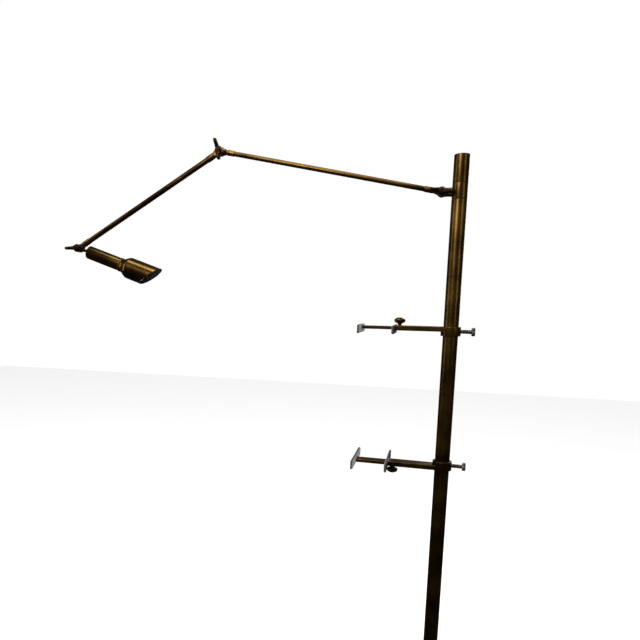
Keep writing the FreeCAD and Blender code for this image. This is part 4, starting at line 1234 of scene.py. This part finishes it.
class BuildStage(bpy.types.Operator):
    """Floor, backdrop, lights and camera"""

    bl_idname = "lamp.build_stage"
    bl_label = "Stage"
    bl_options = {"REGISTER", "UNDO"}

    def execute(self, context):
        stage = context.scene.lamp_stage
        self.floor()
        self.world(context.scene, stage)
        self.lights()
        eye = bpy.data.cameras.new("camera")
        eye.lens, eye.shift_x, eye.shift_y = stage.lens, stage.slide, stage.rise
        eye.clip_start, eye.clip_end = 0.05, 60
        camera = bpy.data.objects.new("camera", eye)
        camera.location, camera.rotation_euler = stage.place, stage.aim
        context.scene.collection.objects.link(camera)
        context.scene.camera = camera
        context.scene.view_settings.view_transform = "Standard"
        return {"FINISHED"}

    def floor(self):
        """A wide, gently mottled pale floor."""
        reach = 9.0
        corners = [(-reach, -reach, 0), (reach, -reach, 0), (reach, reach, 0), (-reach, reach, 0)]
        mesh = bpy.data.meshes.new("floor")
        mesh.from_pydata(corners, [], [(0, 1, 2, 3)])
        floor = bpy.data.objects.new("floor", mesh)
        bpy.context.scene.collection.objects.link(floor)
        tones = bpy.context.scene.lamp_colours
        made = Finish("floor_paint", specular_ior_level=0.2)
        clouds = made.spots(2.0, 4)
        dull = tuple(tone * 0.97 for tone in tones.floor)
        made.set(**{"Base Color": made.mix(clouds, tones.floor, dull), "Roughness": 0.75 + clouds * 0.1})
        mesh.materials.append(made.material)
        floor.visible_glossy = False

    def world(self, scene, stage):
        """White where the camera looks past the lamp, bright for the light that falls on matt surfaces, and
        dim for what is mirrored in the metal."""
        world = bpy.data.worlds.new("studio")
        scene.world = world
        world.use_nodes = True
        tree = world.node_tree
        tree.nodes.clear()
        output = tree.nodes.new("ShaderNodeOutputWorld")
        rays = tree.nodes.new("ShaderNodeLightPath")
        where = tree.nodes.new("ShaderNodeTexCoord")
        split = tree.nodes.new("ShaderNodeSeparateXYZ")
        rise = tree.nodes.new("ShaderNodeMapRange")
        tree.links.new(where.outputs["Generated"], split.inputs[0])
        tree.links.new(split.outputs["Z"], rise.inputs["Value"])
        for name, value in (("From Min", -0.25), ("From Max", 0.9), ("To Min", 0.03), ("To Max", stage.room)):
            rise.inputs[name].default_value = value
        shader = tree.nodes.new("ShaderNodeBackground")
        tree.links.new(rise.outputs[0], shader.inputs["Strength"])
        shader.inputs["Color"].default_value = (1.0, 0.98, 0.95, 1)
        for ray, strength in (("Is Diffuse Ray", stage.floor_light), ("Is Camera Ray", stage.backdrop)):
            plain = tree.nodes.new("ShaderNodeBackground")
            plain.inputs["Color"].default_value = (1, 1, 1, 1)
            plain.inputs["Strength"].default_value = strength
            blend = tree.nodes.new("ShaderNodeMixShader")
            tree.links.new(rays.outputs[ray], blend.inputs[0])
            tree.links.new(shader.outputs[0], blend.inputs[1])
            tree.links.new(plain.outputs[0], blend.inputs[2])
            shader = blend
        tree.links.new(shader.outputs[0], output.inputs[0])

    def lights(self):
        """A tall soft box in front on the left, strips on both sides, one light above and a low fill."""
        for name, place, aim, width, height, power, tint in (
            ("key", (-0.95, -2.0, 2.68), (-0.25, 0, 1.65), 0.60, 0.85, 18, (1.0, 0.95, 0.87)),
            ("strip", (1.3, -0.9, 2.1), (0, 0, 1.6), 0.16, 1.2, 2.5, (1.0, 0.97, 0.92)),
            ("left strip", (-2.1, -0.5, 1.9), (-0.4, 0, 1.5), 0.25, 1.4, 4, (1.0, 0.97, 0.92)),
            ("over", (-0.5, -0.3, 3.0), (-0.5, 0, 1.6), 1.6, 0.5, 12, (1.0, 0.98, 0.95)),
            ("fill", (0.2, -3.0, 1.4), (-0.2, 0, 1.4), 1.6, 1.2, 0.5, (1.0, 0.98, 0.96)),
            ("back", (0.6, 2.6, 2.3), (-0.3, 0, 1.2), 0.8, 1.6, 22, (1.0, 0.97, 0.92)),
        ):
            lamp = bpy.data.lights.new(name, "AREA")
            lamp.shape, lamp.size, lamp.size_y = "RECTANGLE", width, height
            lamp.energy, lamp.color = power, tint
            held = bpy.data.objects.new(name, lamp)
            toward = unit(np.subtract(aim, place))
            side = unit(np.cross(toward, (0, 0, 1)))
            up = np.cross(side, toward)
            matrix = np.eye(4)
            matrix[:3, 0], matrix[:3, 1], matrix[:3, 2], matrix[:3, 3] = side, up, -toward, place
            held.matrix_world = matrix.T
            bpy.context.scene.collection.objects.link(held)


BUILDERS = (PaintFrame, BuildBase, BuildPole, BuildKnuckles, BuildArm, BuildHinges, BuildHead, BuildBrackets,
            BuildStage)


class LampPanel(bpy.types.Panel):
    """Sizes, colours and the steps that build the lamp"""

    bl_idname = "VIEW3D_PT_picture_lamp"
    bl_label = "Picture Lamp"
    bl_space_type = "VIEW_3D"
    bl_region_type = "UI"
    bl_category = "Picture Lamp"

    def draw(self, context):
        for group in (context.scene.lamp_sizes, context.scene.lamp_colours, context.scene.lamp_stage):
            box = self.layout.box()
            for name in group.__annotations__:
                box.prop(group, name)
        for builder in BUILDERS:
            self.layout.operator(builder.bl_idname)


CLASSES = (LampSizes, LampColours, StageSettings, *BUILDERS, LampPanel)


def register():
    for made in CLASSES:
        bpy.utils.register_class(made)
    bpy.types.Scene.lamp_sizes = PointerProperty(type=LampSizes)
    bpy.types.Scene.lamp_colours = PointerProperty(type=LampColours)
    bpy.types.Scene.lamp_stage = PointerProperty(type=StageSettings)


def unregister():
    del bpy.types.Scene.lamp_stage
    del bpy.types.Scene.lamp_colours
    del bpy.types.Scene.lamp_sizes
    for made in reversed(CLASSES):
        bpy.utils.unregister_class(made)


def main():
    register()
    for builder in BUILDERS:
        group, name = builder.bl_idname.split(".")
        getattr(getattr(bpy.ops, group), name)()


if __name__ == "__main__":
    main()
